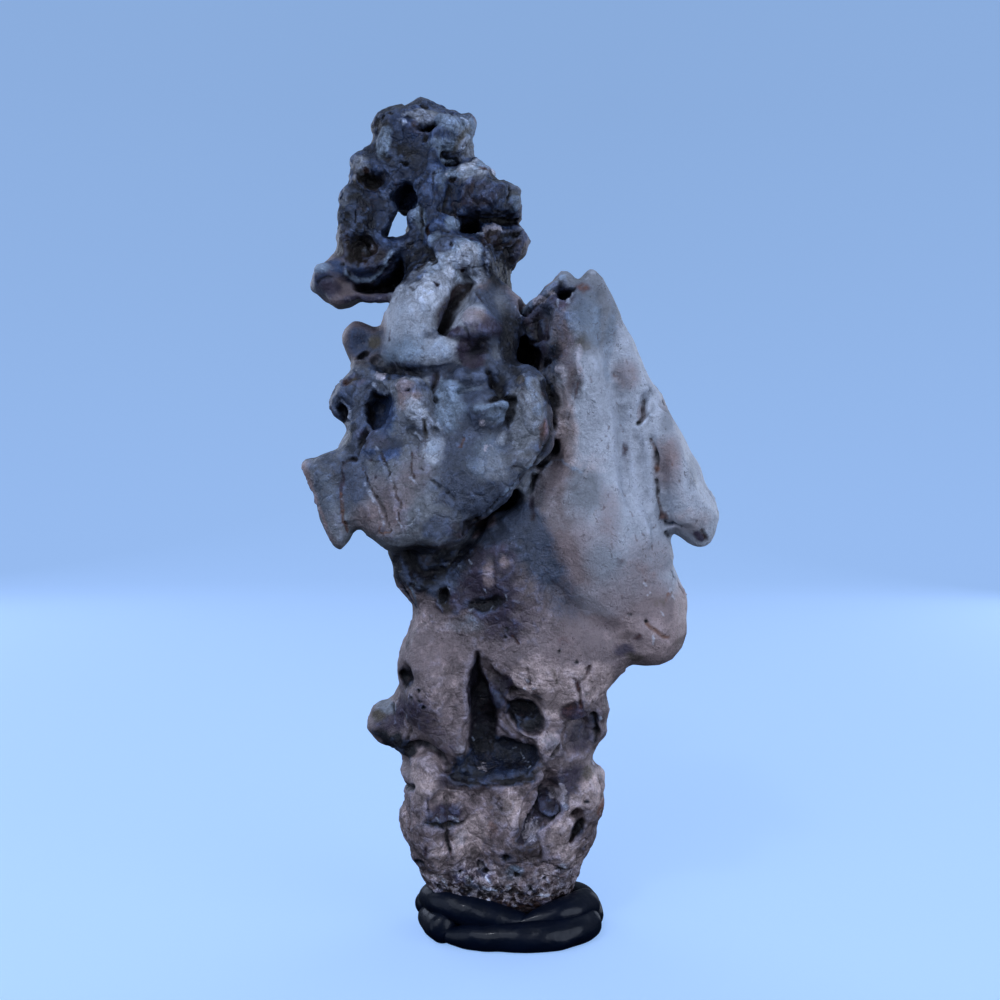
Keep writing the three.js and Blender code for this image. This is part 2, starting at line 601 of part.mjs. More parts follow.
const placed = [stoneField];
for (const [name, path] of Object.entries(rolls)) {
  const roll = tube(path);
  const others = [...placed];
  const field = (x, y, z) =>
    others.reduce((d, other) => Math.max(d, FIT_GAP - other(x, y, z)), roll(x, y, z));
  object.add(await puttyPiece(name, field, ROLL_TRIANGLES));
  placed.push(roll);
}

const padShape = ellipsoid(pad);
const padField = (x, y, z) =>
  placed.reduce((d, other) => Math.max(d, FIT_GAP - other(x, y, z)), padShape(x, y, z));
object.add(await puttyPiece('putty_pad', padField, ROLL_TRIANGLES));

// the origin lies under the middle of the object, on the table
const bounds = new THREE.Box3().setFromObject(object);
const middle = bounds.getCenter(new THREE.Vector3());
object.position.set(-middle.x, -middle.y, -bounds.min.z);

export default object;
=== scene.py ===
"""Looks for a pale and blue-grey quartz display stone that stands in a foot of rolled black putty.

Lengths in the lists below are millimetres in the part's own frame: x to the right and z up as
seen from the front, and the front faces -y. Blender's own units are metres.
"""

import math

import bmesh
import bpy
import numpy as np
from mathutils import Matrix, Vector, noise
from mathutils.bvhtree import BVHTree


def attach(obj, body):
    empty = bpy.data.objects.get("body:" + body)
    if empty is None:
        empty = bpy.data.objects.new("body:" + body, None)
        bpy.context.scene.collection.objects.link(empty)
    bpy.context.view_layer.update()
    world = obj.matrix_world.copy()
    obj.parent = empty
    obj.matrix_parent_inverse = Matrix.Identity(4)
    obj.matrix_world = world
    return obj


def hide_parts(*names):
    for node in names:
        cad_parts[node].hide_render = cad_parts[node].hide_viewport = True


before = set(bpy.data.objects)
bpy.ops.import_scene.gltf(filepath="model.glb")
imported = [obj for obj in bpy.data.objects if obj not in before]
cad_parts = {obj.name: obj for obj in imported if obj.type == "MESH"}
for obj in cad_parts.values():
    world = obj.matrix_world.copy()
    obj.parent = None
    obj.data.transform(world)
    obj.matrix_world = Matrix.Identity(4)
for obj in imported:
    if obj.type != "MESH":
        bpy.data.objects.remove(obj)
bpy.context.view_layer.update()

MM = 0.001  # in Blender's metres

# ---- sizes ---------------------------------------------------------------------------------

STONE_VOXEL = 0.42  # the stone's skin, fine enough for its cracks
STONE_TRIANGLES = 197000
PUTTY_VOXEL = 0.3
PAD_VOXEL = 0.5
FACET_SMOOTHING = 12  # passes that take the flat facets off the solid
LOOK_FROM = 90  # from the stone's middle to where a straight look at it starts
LINE_STEP = 0.3  # between the points of a line laid on the skin
FAR_AWAY = 1e9
noise.seed_set(7)  # the same bumps each run: without a seed they start from the clock

scene = bpy.context.scene


# ---- meshes --------------------------------------------------------------------------------

def add_object(name, data):
    """A new object at the origin that shows the mesh or curve."""
    piece = bpy.data.objects.new(name, data)
    scene.collection.objects.link(piece)
    return piece


def copy_of_node(node, name):
    """A copy of a solid's mesh with its doubles merged."""
    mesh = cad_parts[node].data.copy()
    mesh.materials.clear()
    shell = bmesh.new()
    shell.from_mesh(mesh)
    bmesh.ops.remove_doubles(shell, verts=shell.verts, dist=1e-6)
    shell.to_mesh(mesh)
    shell.free()
    return add_object(name, mesh)


def applied(piece):
    """The piece again, with its modifiers worked into its mesh."""
    bpy.context.view_layer.update()
    graph = bpy.context.evaluated_depsgraph_get()
    mesh = bpy.data.meshes.new_from_object(piece.evaluated_get(graph))
    name = piece.name
    bpy.data.objects.remove(piece)
    return add_object(name, mesh)


def remeshed(piece, voxel_mm):
    """The piece again, with an even skin of small quads."""
    remesh = piece.modifiers.new("even_skin", "REMESH")
    remesh.mode = "VOXEL"
    remesh.voxel_size = voxel_mm * MM
    remesh.use_smooth_shade = True
    return applied(piece)


def thinned(piece, triangles):
    """The piece again with fewer faces, kept where the shape needs them."""
    piece.data.calc_loop_triangles()
    fewer = piece.modifiers.new("fewer_faces", "DECIMATE")
    fewer.ratio = triangles / len(piece.data.loop_triangles)
    fewer.use_collapse_triangulate = True
    return applied(piece)


def step(value, low, high):
    """0 below low, 1 above high and a smooth rise between them."""
    t = np.clip((value - low) / (high - low), 0, 1)
    return t * t * (3 - 2 * t)


SIDES = {  # where a mark's numbers are read from: the two axes, and the line of sight
    "front": (0, 2, (0, 1, 0)),
    "back": (0, 2, (0, -1, 0)),
    "left": (1, 2, (1, 0, 0)),
    "right": (1, 2, (-1, 0, 0)),
}


# Colours that cover each other; all the others are stains over them.
MINERALS = ("bone", "ash", "cool", "warm", "blush", "slate", "steel", "plum", "umber", "navy")


class Skin:
    """A piece's surface as arrays of millimetres, for shaping it like clay."""

    def __init__(self, piece):
        self.mesh = piece.data
        count = len(self.mesh.vertices)
        co = np.empty(count * 3, np.float32)
        self.mesh.vertices.foreach_get("co", co)
        self.co = co.reshape(-1, 3).astype(float) / MM
        ends = np.empty(len(self.mesh.edges) * 2, np.int32)
        self.mesh.edges.foreach_get("vertices", ends)
        self.a, self.b = ends[0::2], ends[1::2]
        self.links = np.bincount(ends, minlength=count).clip(1)
        self.faces = [tuple(face.vertices) for face in self.mesh.polygons]
        self.paints = {}
        self.start_layer()

    def start_layer(self):
        """Takes the shape as it is now for the next marks to be measured on."""
        self.mesh.vertices.foreach_set("co", (self.co * MM).astype(np.float32).ravel())
        self.mesh.update()
        normal = np.empty(len(self.co) * 3, np.float32)
        self.mesh.vertex_normals.foreach_get("vector", normal)
        self.normal = normal.reshape(-1, 3).astype(float)
        self.tree = BVHTree.FromPolygons([Vector(p) for p in self.co], self.faces)
        self.raised = np.zeros(len(self.co))
        self.carved = np.zeros(len(self.co))
        self.dug = np.zeros((len(self.co), 3))
        self.wobble = self.noise(1.9, 3) * 0.5  # makes the edges of marks ragged
        self.drift = self.noise(3.4, 9)  # makes ovals less regular
        self.breaks = np.clip(0.55 + 1.3 * self.noise(1.3, 8)[:, 0], 0, 1)  # makes lines come and go

    def finish_layer(self, rounds=1):
        """Moves the skin as the marks say, and eases the walls that it stretched."""
        change = self.normal * (self.raised - self.carved)[:, None] + self.dug
        self.co += change
        for _ in range(rounds):
            pull = np.linalg.norm(change - self.mean(change), axis=1)
            share = step(pull, 0.15, 0.8)[:, None] * 0.5
            self.co += share * (self.mean(self.co) - self.co)
        self.start_layer()

    def noise(self, size, seed):
        """Three smooth random numbers from -1 to 1 at each point, with bumps of this size."""
        shift = Vector((seed * 7.3, seed * 3.1, seed * 5.7))
        return np.array([noise.noise_vector(Vector(p) / size + shift) for p in self.co])

    def mean(self, values):
        """Each point's mean of its neighbours' values."""
        if values.ndim > 1:
            return np.stack([self.mean(values[:, k]) for k in range(values.shape[1])], axis=1)
        count = len(self.co)
        total = np.bincount(self.a, values[self.b], count) + np.bincount(self.b, values[self.a], count)
        return total / self.links

    def smooth(self, passes, keep=0.53):
        """Takes facets off, and pushes back after each pass so that nothing shrinks."""
        for _ in range(passes):
            self.co += 0.5 * (self.mean(self.co) - self.co)
            self.co -= keep * (self.mean(self.co) - self.co)
        self.start_layer()

    def touch(self, u, v, side):
        """The point where a straight look from one side first meets the skin."""
        first, second, sight = SIDES[side]
        start = Vector((0, 0, 0)) - Vector(sight) * LOOK_FROM
        start[first], start[second] = u, v
        hit = self.tree.ray_cast(start, Vector(sight))[0]
        return None if hit is None else np.array(hit)

    def line(self, points, side):
        """A line laid on the skin through the points, as closely set 3-D points."""
        laid = []
        for (u0, v0), (u1, v1) in zip(points, points[1:] or points):
            parts = max(1, int(math.hypot(u1 - u0, v1 - v0) / LINE_STEP))
            for k in range(parts + 1):
                hit = self.touch(u0 + (u1 - u0) * k / parts, v0 + (v1 - v0) * k / parts, side)
                if hit is not None:
                    laid.append(hit)
        return np.array(laid)

    def near_line(self, points, radius, side, ragged):
        """The skin points within the radius of a line, and how far each is from it."""
        laid = self.line(points, side)
        if not len(laid):
            return np.array([], int), np.array([])
        low, high = laid.min(0) - radius - 1, laid.max(0) + radius + 1
        ids = np.nonzero(((self.co > low) & (self.co < high)).all(1))[0]
        spots = self.co[ids] + self.wobble[ids] * ragged
        far = np.full(len(ids), FAR_AWAY)
        for start in range(0, len(laid), 40):
            gap = spots[:, None, :] - laid[None, start:start + 40, :]
            far = np.minimum(far, np.sqrt((gap ** 2).sum(2)).min(1))
        keep = far < radius
        return ids[keep], far[keep]

    def near_oval(self, u, v, ru, rv, turn, side, ragged, reach=1.0):
        """The skin points in an oval, and how far out each is, where 1 is the oval's edge."""
        hit = self.touch(u, v, side)
        if hit is None:
            return np.array([], int), np.array([])
        first, second, _ = SIDES[side]
        span = max(ru, rv) * reach
        ids = np.nonzero((np.abs(self.co - hit) < span + 2.5).all(1))[0]
        spots = self.co[ids] + self.wobble[ids] * ragged + self.drift[ids] * min(ru, rv) * ragged * 0.8 - hit
        angle = math.radians(turn)
        s, t = spots[:, first], spots[:, second]
        third = ({0, 1, 2} - {first, second}).pop()
        along = np.abs(s * math.cos(angle) + t * math.sin(angle)) / ru
        across = np.abs(t * math.cos(angle) - s * math.sin(angle)) / rv
        flat = 0.6 * np.hypot(along, across) + 0.2 * (along + across) + 0.2 * np.maximum(along, across)
        far = np.hypot(flat, spots[:, third] / (span + 2))
        keep = far < reach
        return ids[keep], far[keep]

    def near_patch(self, corners, side, ragged, depth=7):
        """The skin points inside a cornered patch, and how far in from its edge each is."""
        first, second, _ = SIDES[side]
        middle = np.mean(corners, axis=0)
        hit = self.touch(middle[0], middle[1], side)
        if hit is None:
            return np.array([], int), np.array([])
        third = ({0, 1, 2} - {first, second}).pop()
        spots = self.co + self.wobble * ragged
        s, t = spots[:, first], spots[:, second]
        inside = np.zeros(len(s), bool)
        edge = np.full(len(s), FAR_AWAY)
        for (u0, v0), (u1, v1) in zip(corners, corners[1:] + corners[:1]):
            crosses = (v0 > t) != (v1 > t)
            inside ^= crosses & (s < (u1 - u0) * (t - v0) / ((v1 - v0) or 1e-9) + u0)
            length_squared = (u1 - u0) ** 2 + (v1 - v0) ** 2 + 1e-9
            k = np.clip(((s - u0) * (u1 - u0) + (t - v0) * (v1 - v0)) / length_squared, 0, 1)
            edge = np.minimum(edge, np.hypot(s - u0 - k * (u1 - u0), t - v0 - k * (v1 - v0)))
        ids = np.nonzero(inside & (np.abs(self.co[:, third] - hit[third]) < depth))[0]
        return ids, edge[ids]

    def paint(self, ids, strength, colours):
        """Lays each named colour on the points.

        A mineral covers the other minerals, and a stain counts where it is the stronger one.
        """
        for name, amount in colours.items():
            layer = self.paints.setdefault(name, np.zeros(len(self.co)))
            share = strength * amount
            if name in MINERALS:
                for mineral in MINERALS:
                    if mineral in self.paints:
                        self.paints[mineral][ids] *= 1 - share
                layer[ids] += share
            else:
                layer[ids] = np.maximum(layer[ids], share)

    def groove(self, width, depth, points, side="front", ragged=0.5, **colours):
        """A crack, furrow or (with a negative depth) a lip or ridge along a line."""
        ids, far = self.near_line(points, width * 1.5, side, ragged)
        strong = 1 - ragged * (1 - self.breaks[ids])
        shape = 1 - step(far, 0, width)
        layer = self.carved if depth > 0 else self.raised
        layer[ids] = np.maximum(layer[ids], abs(depth) * shape * strong)
        self.paint(ids, (1 - step(far, width * 0.3, width * 1.3)) * strong, colours)

    def pit(self, u, v, ru, rv, depth, turn=0, side="front", ragged=0.6, **colours):
        """A hole with steep walls, or (with a negative depth) a lump."""
        ids, far = self.near_oval(u, v, ru, rv, turn, side, ragged, 1.6)
        if depth > 0:
            sight = np.array(SIDES[side][2], float)
            deep = depth * (1 - step(far, 0.35, 1.15))
            stronger = deep > np.linalg.norm(self.dug[ids], axis=1)
            self.dug[ids[stronger]] = sight * deep[stronger, None]
        else:
            self.raised[ids] = np.maximum(self.raised[ids], -depth * (1 - step(far, 0.0, 1.25)))
        self.paint(ids, 1 - step(far, 0.5, 1.45), colours)

    def stain(self, u, v, ru, rv, turn=0, side="front", ragged=1.0, **colours):
        """Colour alone, in a soft oval."""
        ids, far = self.near_oval(u, v, ru, rv, turn, side, ragged, 1.5)
        self.paint(ids, 1 - step(far, 0.5, 1.5), colours)

    def cave(self, corners, depth, wall=0.9, side="front", ragged=0.5, **colours):
        """A cornered hollow that goes straight in, or (with a negative depth) a plate."""
        ids, edge = self.near_patch(corners, side, ragged)
        sight = np.array(SIDES[side][2], float)
        deep = depth * step(edge, -0.2, wall)
        stronger = np.abs(deep) > np.linalg.norm(self.dug[ids], axis=1)
        self.dug[ids[stronger]] = sight * deep[stronger, None]
        self.paint(ids, step(edge, -0.3, wall), colours)

    def facet(self, corners, lean=(0, 0), side="front", sink=0.0, edge_width=0.5, **colours):
        """A broken face: the patch is brought to one flat plane."""
        ids, edge = self.near_patch(corners, side, 0.15, 4)
        if not len(ids):
            return
        first, second, _ = SIDES[side]
        facing = self.normal[ids].mean(0)
        facing[first] += lean[0]
        facing[second] += lean[1]
        facing /= np.linalg.norm(facing)
        middle = self.co[ids].mean(0) - facing * sink
        off = (self.co[ids] - middle) @ facing
        share = step(edge, 0, edge_width)
        self.dug[ids] = -facing * np.clip(off, -1.5, 1.5)[:, None] * share[:, None]
        self.paint(ids, step(edge, -0.1, 0.4), colours)

    def grab(self, u, v, radius, du, dv):
        """Draws the stone out or in near a point, right through from front to back."""
        far = np.hypot(self.co[:, 0] - u, self.co[:, 2] - v)
        share = 1 - step(far, radius * 0.25, radius)
        self.dug[:, 0] += share * du
        self.dug[:, 2] += share * dv

    def relief(self, passes):
        """How much each point stands out from the skin round it, in millimetres."""
        base = self.co.copy()
        for _ in range(passes):
            base = self.mean(base)
        return ((self.co - base) * self.normal).sum(1)

    def zone(self, name, u, v, ru, rv, amount=1.0, soft=0.5, turn=0):
        """A colour in a soft oval right through the stone, over the minerals laid before it."""
        angle = math.radians(turn)
        spots = self.co + self.slow * min(1, min(ru, rv) / 7)
        s, t = spots[:, 0] - u, spots[:, 2] - v
        along = s * math.cos(angle) + t * math.sin(angle)
        across = t * math.cos(angle) - s * math.sin(angle)
        share = 1 - step(np.hypot(along / ru, across / rv), 1 - soft, 1 + soft)
        self.paint(slice(None), share, {name: amount})

    def store(self):
        """Keeps each colour's strength for the materials to read.

        A mineral's strength is its share of itself and of what MINERALS names before it.
        """
        beneath = 1 - sum(self.paints[name] for name in MINERALS)
        for name in MINERALS:
            beneath = beneath + self.paints[name]
            self.paints[name] = self.paints[name] / np.maximum(beneath, 1e-6)
        for name, values in self.paints.items():
            attribute = self.mesh.attributes.new(name, "FLOAT", "POINT")
            attribute.data.foreach_set("value", values.astype(np.float32))


# ---- materials -----------------------------------------------------------------------------

def linear(hex_colour):
    """The linear colour behind an sRGB hex value."""
    parts = [int(hex_colour[i:i + 2], 16) / 255 for i in (0, 2, 4)]
    return [c / 12.92 if c <= 0.04045 else ((c + 0.055) / 1.055) ** 2.4 for c in parts] + [1]


def add(tree, kind, inputs=None, **settings):
    """Adds a shader node, with its settings and with a value or a link for each named input."""
    made = tree.nodes.new("ShaderNode" + kind)
    for name, value in settings.items():
        setattr(made, name, value)
    for name, value in (inputs or {}).items():
        if isinstance(value, bpy.types.NodeSocket):
            tree.links.new(value, made.inputs[name])
        else:
            made.inputs[name].default_value = value
    return made


def new_material(name):
    """An empty material, its node tree and the shader at its end."""
    material = bpy.data.materials.new(name)
    material.use_nodes = True
    tree = material.node_tree
    tree.nodes.clear()
    shader = add(tree, "BsdfPrincipled")
    end = add(tree, "OutputMaterial")
    tree.links.new(shader.outputs["BSDF"], end.inputs["Surface"])
    return material, tree, shader


# Sockets of a Mix node, by number because their names repeat.
SHARE, UNDER, OVER = 0, 6, 7  # when it mixes colours
LOW, HIGH = 2, 3  # when it mixes plain numbers

TONES = (  # the minerals' colours as they lie on each other, and how far noise frays each edge
    ("bone", "A3AAB8", 0.5),  # clean quartz, the palest
    ("ash", "727781", 0.6),  # duller grey quartz
    ("warm", "7C6E71", 0.7),  # grey with a breath of iron
    ("blush", "B3A1A1", 0.7),  # pale and rosy
    ("cool", "728296", 0.7),  # pale and bluish
    ("slate", "3F4759", 0.8),  # blue-grey
    ("steel", "243453", 0.8),  # deep blue, as on the crown
    ("plum", "3A3342", 0.8),  # iron and manganese in the hollows
    ("umber", "2A2022", 0.8),  # old earth
    ("navy", "0C111E", 0.7),  # nearly black
)
STAINS = (  # colour, fray, strengths at which it starts and is full, and how much it covers then
    ("olive", "4A4334", 0.7, 0.15, 0.8, 0.8),  # dried algae
    ("rust", "6B4430", 0.7, 0.25, 0.9, 0.8),
    ("ink", "0D0E17", 0.6, 0.1, 0.8, 1.0),  # dirt that has settled in cracks and pits, and painted shade in their depths
    ("druse", "ADA5AD", 1.6, 0.3, 0.7, 0.6),  # a crumbly skin of tiny crystals
    ("white", "B9C2D2", 0.9, 0.35, 1.0, 0.5),  # single crystals and worn edges, and painted highlights: glints on crystals and lit rims
)


def dress_stone():
    """Weathered quartz, broken by nature and polished in places by water and hands.

    To the eye it is pale and bluish where it is clean and dark, plum or rusty where earth has
    settled; its hollows also carry painted shade, and its rims and crystals painted highlights.
    Its satin skin scatters more than it mirrors. The IOR is quartz's own 1.544. Roughness is about
    0.1 on a fresh crystal face and from 0.5 on a weathered one, so 0.28 to 0.55 here.
    """
    material, tree, shader = new_material("weathered_quartz")
    place = add(tree, "TexCoord")
    in_mm = add(tree, "Mapping", {"Vector": place.outputs["Object"], "Scale": (1000, 1000, 1000)})
    spot = in_mm.outputs["Vector"]

    # Patterns: a scale of 1 repeats each millimetre, so each scale is 1 / (size in mm).
    # Growth zones of duller and cleaner quartz, 9 mm across.
    clouds = add(tree, "TexNoise", {"Vector": spot, "Scale": 0.11, "Detail": 4, "Roughness": 0.6})
    # Patches of weathering, 3.6 mm.
    blots = add(
        tree, "TexNoise",
        {"Vector": spot, "Scale": 0.28, "Detail": 5, "Roughness": 0.62, "Distortion": 0.8},
    )
    # Changes of tone from crystal to crystal, 1.3 mm.
    mottle = add(
        tree, "TexNoise",
        {"Vector": spot, "Scale": 0.75, "Detail": 5, "Roughness": 0.65, "Distortion": 0.4},
    )
    # Sugar grain: 0.1 to 0.2 mm on such a stone, drawn at 0.36 mm, as coarse as it needs to show.
    grain = add(tree, "TexNoise", {"Vector": spot, "Scale": 2.8, "Detail": 3, "Roughness": 0.65})
    broken = add(tree, "Attribute", attribute_name="broken").outputs["Fac"]
    calm = add(tree, "MapRange", {"Value": broken, "To Min": 0.5, "To Max": 1.0}).outputs["Result"]

    # Broken crystal faces 3 mm across with chips of 1 mm, on a grid that 2.2 mm swirls bend.
    swirl = add(tree, "TexNoise", {"Vector": spot, "Scale": 0.45, "Detail": 4, "Roughness": 0.6})
    bent = add(
        tree, "VectorMath", {0: swirl.outputs["Color"], 1: (2.2, 2.2, 2.2), 2: spot},
        operation="MULTIPLY_ADD",
    ).outputs[0]
    shards = add(tree, "TexVoronoi", {"Vector": bent, "Scale": 0.34})
    chips = add(tree, "TexVoronoi", {"Vector": bent, "Scale": 0.95})
    joints = add(tree, "TexVoronoi", {"Vector": bent, "Scale": 0.34}, feature="DISTANCE_TO_EDGE")
    both = add(tree, "Math", {0: blots.outputs["Fac"], 1: mottle.outputs["Fac"]}, operation="ADD")
    fray = add(tree, "Math", {0: both.outputs[0], 1: 0.5, 2: 0.0}, operation="MULTIPLY_ADD").outputs[0]

    def covered(base, share, colour):
        """The base colour with another over it, by the share."""
        return add(
            tree, "Mix", {SHARE: share, UNDER: base, OVER: linear(colour)}, data_type="RGBA",
        ).outputs[2]

    def dyed(base, factor):
        """The base colour times a number or a grey."""
        return add(
            tree, "Mix", {SHARE: 1.0, UNDER: base, OVER: factor},
            data_type="RGBA", blend_type="MULTIPLY",
        ).outputs[2]

    def stained(base, name, colour, rough, low=0.2, high=0.8, amount=1.0, breaker=fray):
        """The base colour with a painted one over it, whose edge the noise breaks up."""
        strength = add(tree, "Attribute", attribute_name=name).outputs["Fac"]
        off = add(tree, "Math", {0: breaker, 1: -0.5}, operation="ADD")
        rest = add(tree, "Math", {0: 1.0, 1: strength}, operation="SUBTRACT")
        middle = add(tree, "Math", {0: rest.outputs[0], 1: strength}, operation="MULTIPLY")
        reach = add(tree, "Math", {0: calm, 1: rough * 10}, operation="MULTIPLY")
        swing = add(tree, "Math", {0: middle.outputs[0], 1: reach.outputs[0]}, operation="MULTIPLY")
        shifted = add(
            tree, "Math", {0: off.outputs[0], 1: swing.outputs[0], 2: strength},
            operation="MULTIPLY_ADD",
        )
        share = add(
            tree, "MapRange",
            {"Value": shifted.outputs[0], "From Min": low, "From Max": high, "To Max": amount},
        )
        return covered(base, share.outputs["Result"], colour)

    tone = add(tree, "MapRange", {"Value": clouds.outputs["Fac"], "From Min": 0.35, "From Max": 0.65})
    body = add(
        tree, "Mix",
        {SHARE: tone.outputs["Result"], UNDER: linear("837679"), OVER: linear("71666A")}, data_type="RGBA",
    ).outputs[2]
    for name, colour, rough in TONES:
        body = stained(body, name, colour, rough)
    for name, colour, rough, low, high, amount in STAINS:
        body = stained(body, name, colour, rough, low, high, amount, mottle.outputs["Fac"])

    def shaded(base, level, low, high, least, start=0.3, stop=0.7):
        """The base colour made darker and lighter by a pattern, by the least share where it is calm."""
        full = add(
            tree, "MapRange",
            {"Value": level, "From Min": start, "From Max": stop, "To Min": low, "To Max": high},
        )
        share = add(tree, "MapRange", {"Value": broken, "To Min": least, "To Max": 1.0})
        dimmed = add(
            tree, "Mix", {SHARE: share.outputs["Result"], LOW: 1.0, HIGH: full.outputs["Result"]},
            data_type="FLOAT",
        )
        return dyed(base, dimmed.outputs[0])

    def worn_lit_and_shaded(base, name, factor):
        """The base colour made lighter or darker where the relief of that name is strong."""
        strength = add(tree, "Attribute", attribute_name=name).outputs["Fac"]
        scaled = add(tree, "MapRange", {"Value": strength, "To Min": 1.0, "To Max": factor})
        return dyed(base, scaled.outputs["Result"])

    # Painted highlight and painted shade by the relief: raised edges turn paler and bluer, as lit worn rims,
    # and hollows darker, as dirt and the shade that falls there.
    body = stained(body, "edge", "667AA2", 0.8, 0.1, 1.0, 0.22, mottle.outputs["Fac"])
    body = worn_lit_and_shaded(worn_lit_and_shaded(body, "edge", 1.35), "hollow", 0.4)
    body = shaded(body, blots.outputs["Fac"], 0.55, 1.4, 0.3)
    body = shaded(body, mottle.outputs["Fac"], 0.6, 1.35, 0.35)
    body = shaded(body, grain.outputs["Fac"], 0.6, 1.35, 0.35)
    body = shaded(body, shards.outputs["Color"], 0.7, 1.25, 0.03, 0.2, 0.8)
    body = shaded(body, chips.outputs["Color"], 0.78, 1.22, 0.05, 0.2, 0.8)
    body = shaded(body, joints.outputs["Distance"], 0.75, 1.0, 0.0, 0.0, 0.06)

    def specked(base, scale, gate, colour, amount, where):
        """Small grains of another colour, in clusters."""
        dots = add(tree, "TexNoise", {"Vector": spot, "Scale": scale, "Detail": 2, "Roughness": 0.5})
        drift = add(tree, "Math", {0: where, 1: 0.35, 2: -0.175}, operation="MULTIPLY_ADD")
        level = add(tree, "Math", {0: dots.outputs["Fac"], 1: drift.outputs[0]}, operation="ADD")
        share = add(
            tree, "MapRange",
            {"Value": level.outputs[0], "From Min": gate, "From Max": gate + 0.05, "To Max": amount},
        )
        return covered(base, share.outputs["Result"], colour)

    def veined(base, scale, width, colour, amount, where, seed):
        """Hair cracks and veins: thin winding lines that come and go."""
        moved = add(
            tree, "VectorMath", {0: spot, 1: (seed * 31, seed * 17, seed * 11)}, operation="ADD",
        )
        folds = add(
            tree, "TexNoise",
            {
                "Vector": moved.outputs["Vector"], "Scale": scale,
                "Detail": 4, "Roughness": 0.55, "Distortion": 0.8,
            },
        )
        off = add(tree, "Math", {0: folds.outputs["Fac"], 1: -0.5}, operation="ADD")
        far = add(tree, "Math", {0: off.outputs[0]}, operation="ABSOLUTE")
        line = add(
            tree, "MapRange",
            {
                "Value": far.outputs[0], "From Min": width * 0.3, "From Max": width,
                "To Min": amount, "To Max": 0.0,
            },
        )
        there = add(tree, "MapRange", {"Value": where, "From Min": 0.52, "From Max": 0.62})
        share = add(
            tree, "Math", {0: line.outputs["Result"], 1: there.outputs["Result"]},
            operation="MULTIPLY",
        )
        return covered(base, share.outputs[0], colour)

    # Veins that wind every 7, 4 and 2 mm, hairs of 0.1 to 0.2 mm like the stone's own.
    body = veined(body, 0.14, 0.009, "2B2023", 0.55, blots.outputs["Fac"], 1)
    body = veined(body, 0.24, 0.01, "4A3836", 0.4, clouds.outputs["Fac"], 2)
    body = veined(body, 0.5, 0.012, "241E24", 0.45, swirl.outputs["Fac"], 3)
    # Dark and pale mineral grains, 0.2 mm on the stone and drawn at 0.45 mm to show.
    body = specked(body, 2.2, 0.67, "2A2227", 0.55, blots.outputs["Fac"])
    body = specked(body, 2.4, 0.72, "8A94A8", 0.35, swirl.outputs["Fac"])
    tree.links.new(body, shader.inputs["Base Color"])

    gloss = add(
        tree, "MapRange",
        {"Value": mottle.outputs["Fac"], "From Min": 0.3, "From Max": 0.7, "To Min": 0.28, "To Max": 0.55},
    )
    tree.links.new(gloss.outputs["Result"], shader.inputs["Roughness"])

    # Relief too fine for the mesh: crystals up to 0.6 mm high, grain 0.2 mm, joints 0.35 mm deep.
    bump = add(tree, "Bump", {"Strength": 0.8, "Distance": 0.0006, "Height": mottle.outputs["Fac"]})
    bump = add(
        tree, "Bump",
        {
            "Strength": 0.8, "Distance": 0.00022,
            "Height": grain.outputs["Fac"], "Normal": bump.outputs["Normal"],
        },
    )
    seams = add(tree, "MapRange", {"Value": joints.outputs["Distance"], "From Max": 0.12})
    seam_share = add(tree, "Math", {0: broken, 1: 0.6}, operation="MULTIPLY")
    bump = add(
        tree, "Bump",
        {
            "Strength": seam_share.outputs[0], "Distance": 0.00035,
            "Height": seams.outputs["Result"], "Normal": bump.outputs["Normal"],
        },
    )
    tree.links.new(bump.outputs["Normal"], shader.inputs["Normal"])
    shader.inputs["IOR"].default_value = 1.544
    shader.inputs["Specular IOR Level"].default_value = 0.26  # a weathered skin mirrors half as much
    return material


def dress_putty():
    """Black modelling putty, rolled and pressed by hand.

    To the eye it is a deep black with a satin skin: broad soft highlights, dented by fingers and
    dulled by dust. Such putty has an IOR of about 1.5 and a roughness from 0.3 to 0.5.
    """
    material, tree, shader = new_material("black_putty")
    place = add(tree, "TexCoord")
    in_mm = add(tree, "Mapping", {"Vector": place.outputs["Object"], "Scale": (1000, 1000, 1000)})
    spot = in_mm.outputs["Vector"]
    # Dents left by fingers, 3 mm across.
    dents = add(tree, "TexNoise", {"Vector": spot, "Scale": 0.35, "Detail": 3, "Roughness": 0.5})
    # Dust, 0.05 mm on real putty and drawn at 0.33 mm, as coarse as it needs to show.
    dust = add(tree, "TexNoise", {"Vector": spot, "Scale": 3.0, "Detail": 3})
    tone = add(
        tree, "Mix",
        {SHARE: dents.outputs["Fac"], UNDER: linear("020712"), OVER: linear("040C1E")}, data_type="RGBA",
    )
    tree.links.new(tone.outputs[2], shader.inputs["Base Color"])
    gloss = add(
        tree, "MapRange",
        {"Value": dust.outputs["Fac"], "From Min": 0.3, "From Max": 0.7, "To Min": 0.36, "To Max": 0.46},
    )
    tree.links.new(gloss.outputs["Result"], shader.inputs["Roughness"])
    bump = add(tree, "Bump", {"Strength": 0.5, "Distance": 0.0006, "Height": dents.outputs["Fac"]})
    tree.links.new(bump.outputs["Normal"], shader.inputs["Normal"])
    shader.inputs["IOR"].default_value = 1.5
    shader.inputs["Specular IOR Level"].default_value = 0.12  # dusty, so it mirrors less than plastic
    shader.inputs["Coat Weight"].default_value = 0.12  # the thin oily film of the putty
    shader.inputs["Coat Roughness"].default_value = 0.12
    return material


# ---- the stone -----------------------------------------------------------------------------

stone = remeshed(copy_of_node("stone", "display_stone"), STONE_VOXEL)
skin = Skin(stone)
skin.smooth(FACET_SMOOTHING)
skin.slow = skin.noise(9, 5) * 2.2 + skin.noise(3, 6) * 0.8  # bends the outlines of the zones
zone, groove, pit, stain, cave, facet = skin.zone, skin.groove, skin.pit, skin.stain, skin.cave, skin.facet


def holes(side, ink, rows):
    """Holes on one side: place, radii and depth."""
    for u, v, ru, rv, deep in rows:
        pit(u, v, ru, rv, deep, side=side, ink=ink)


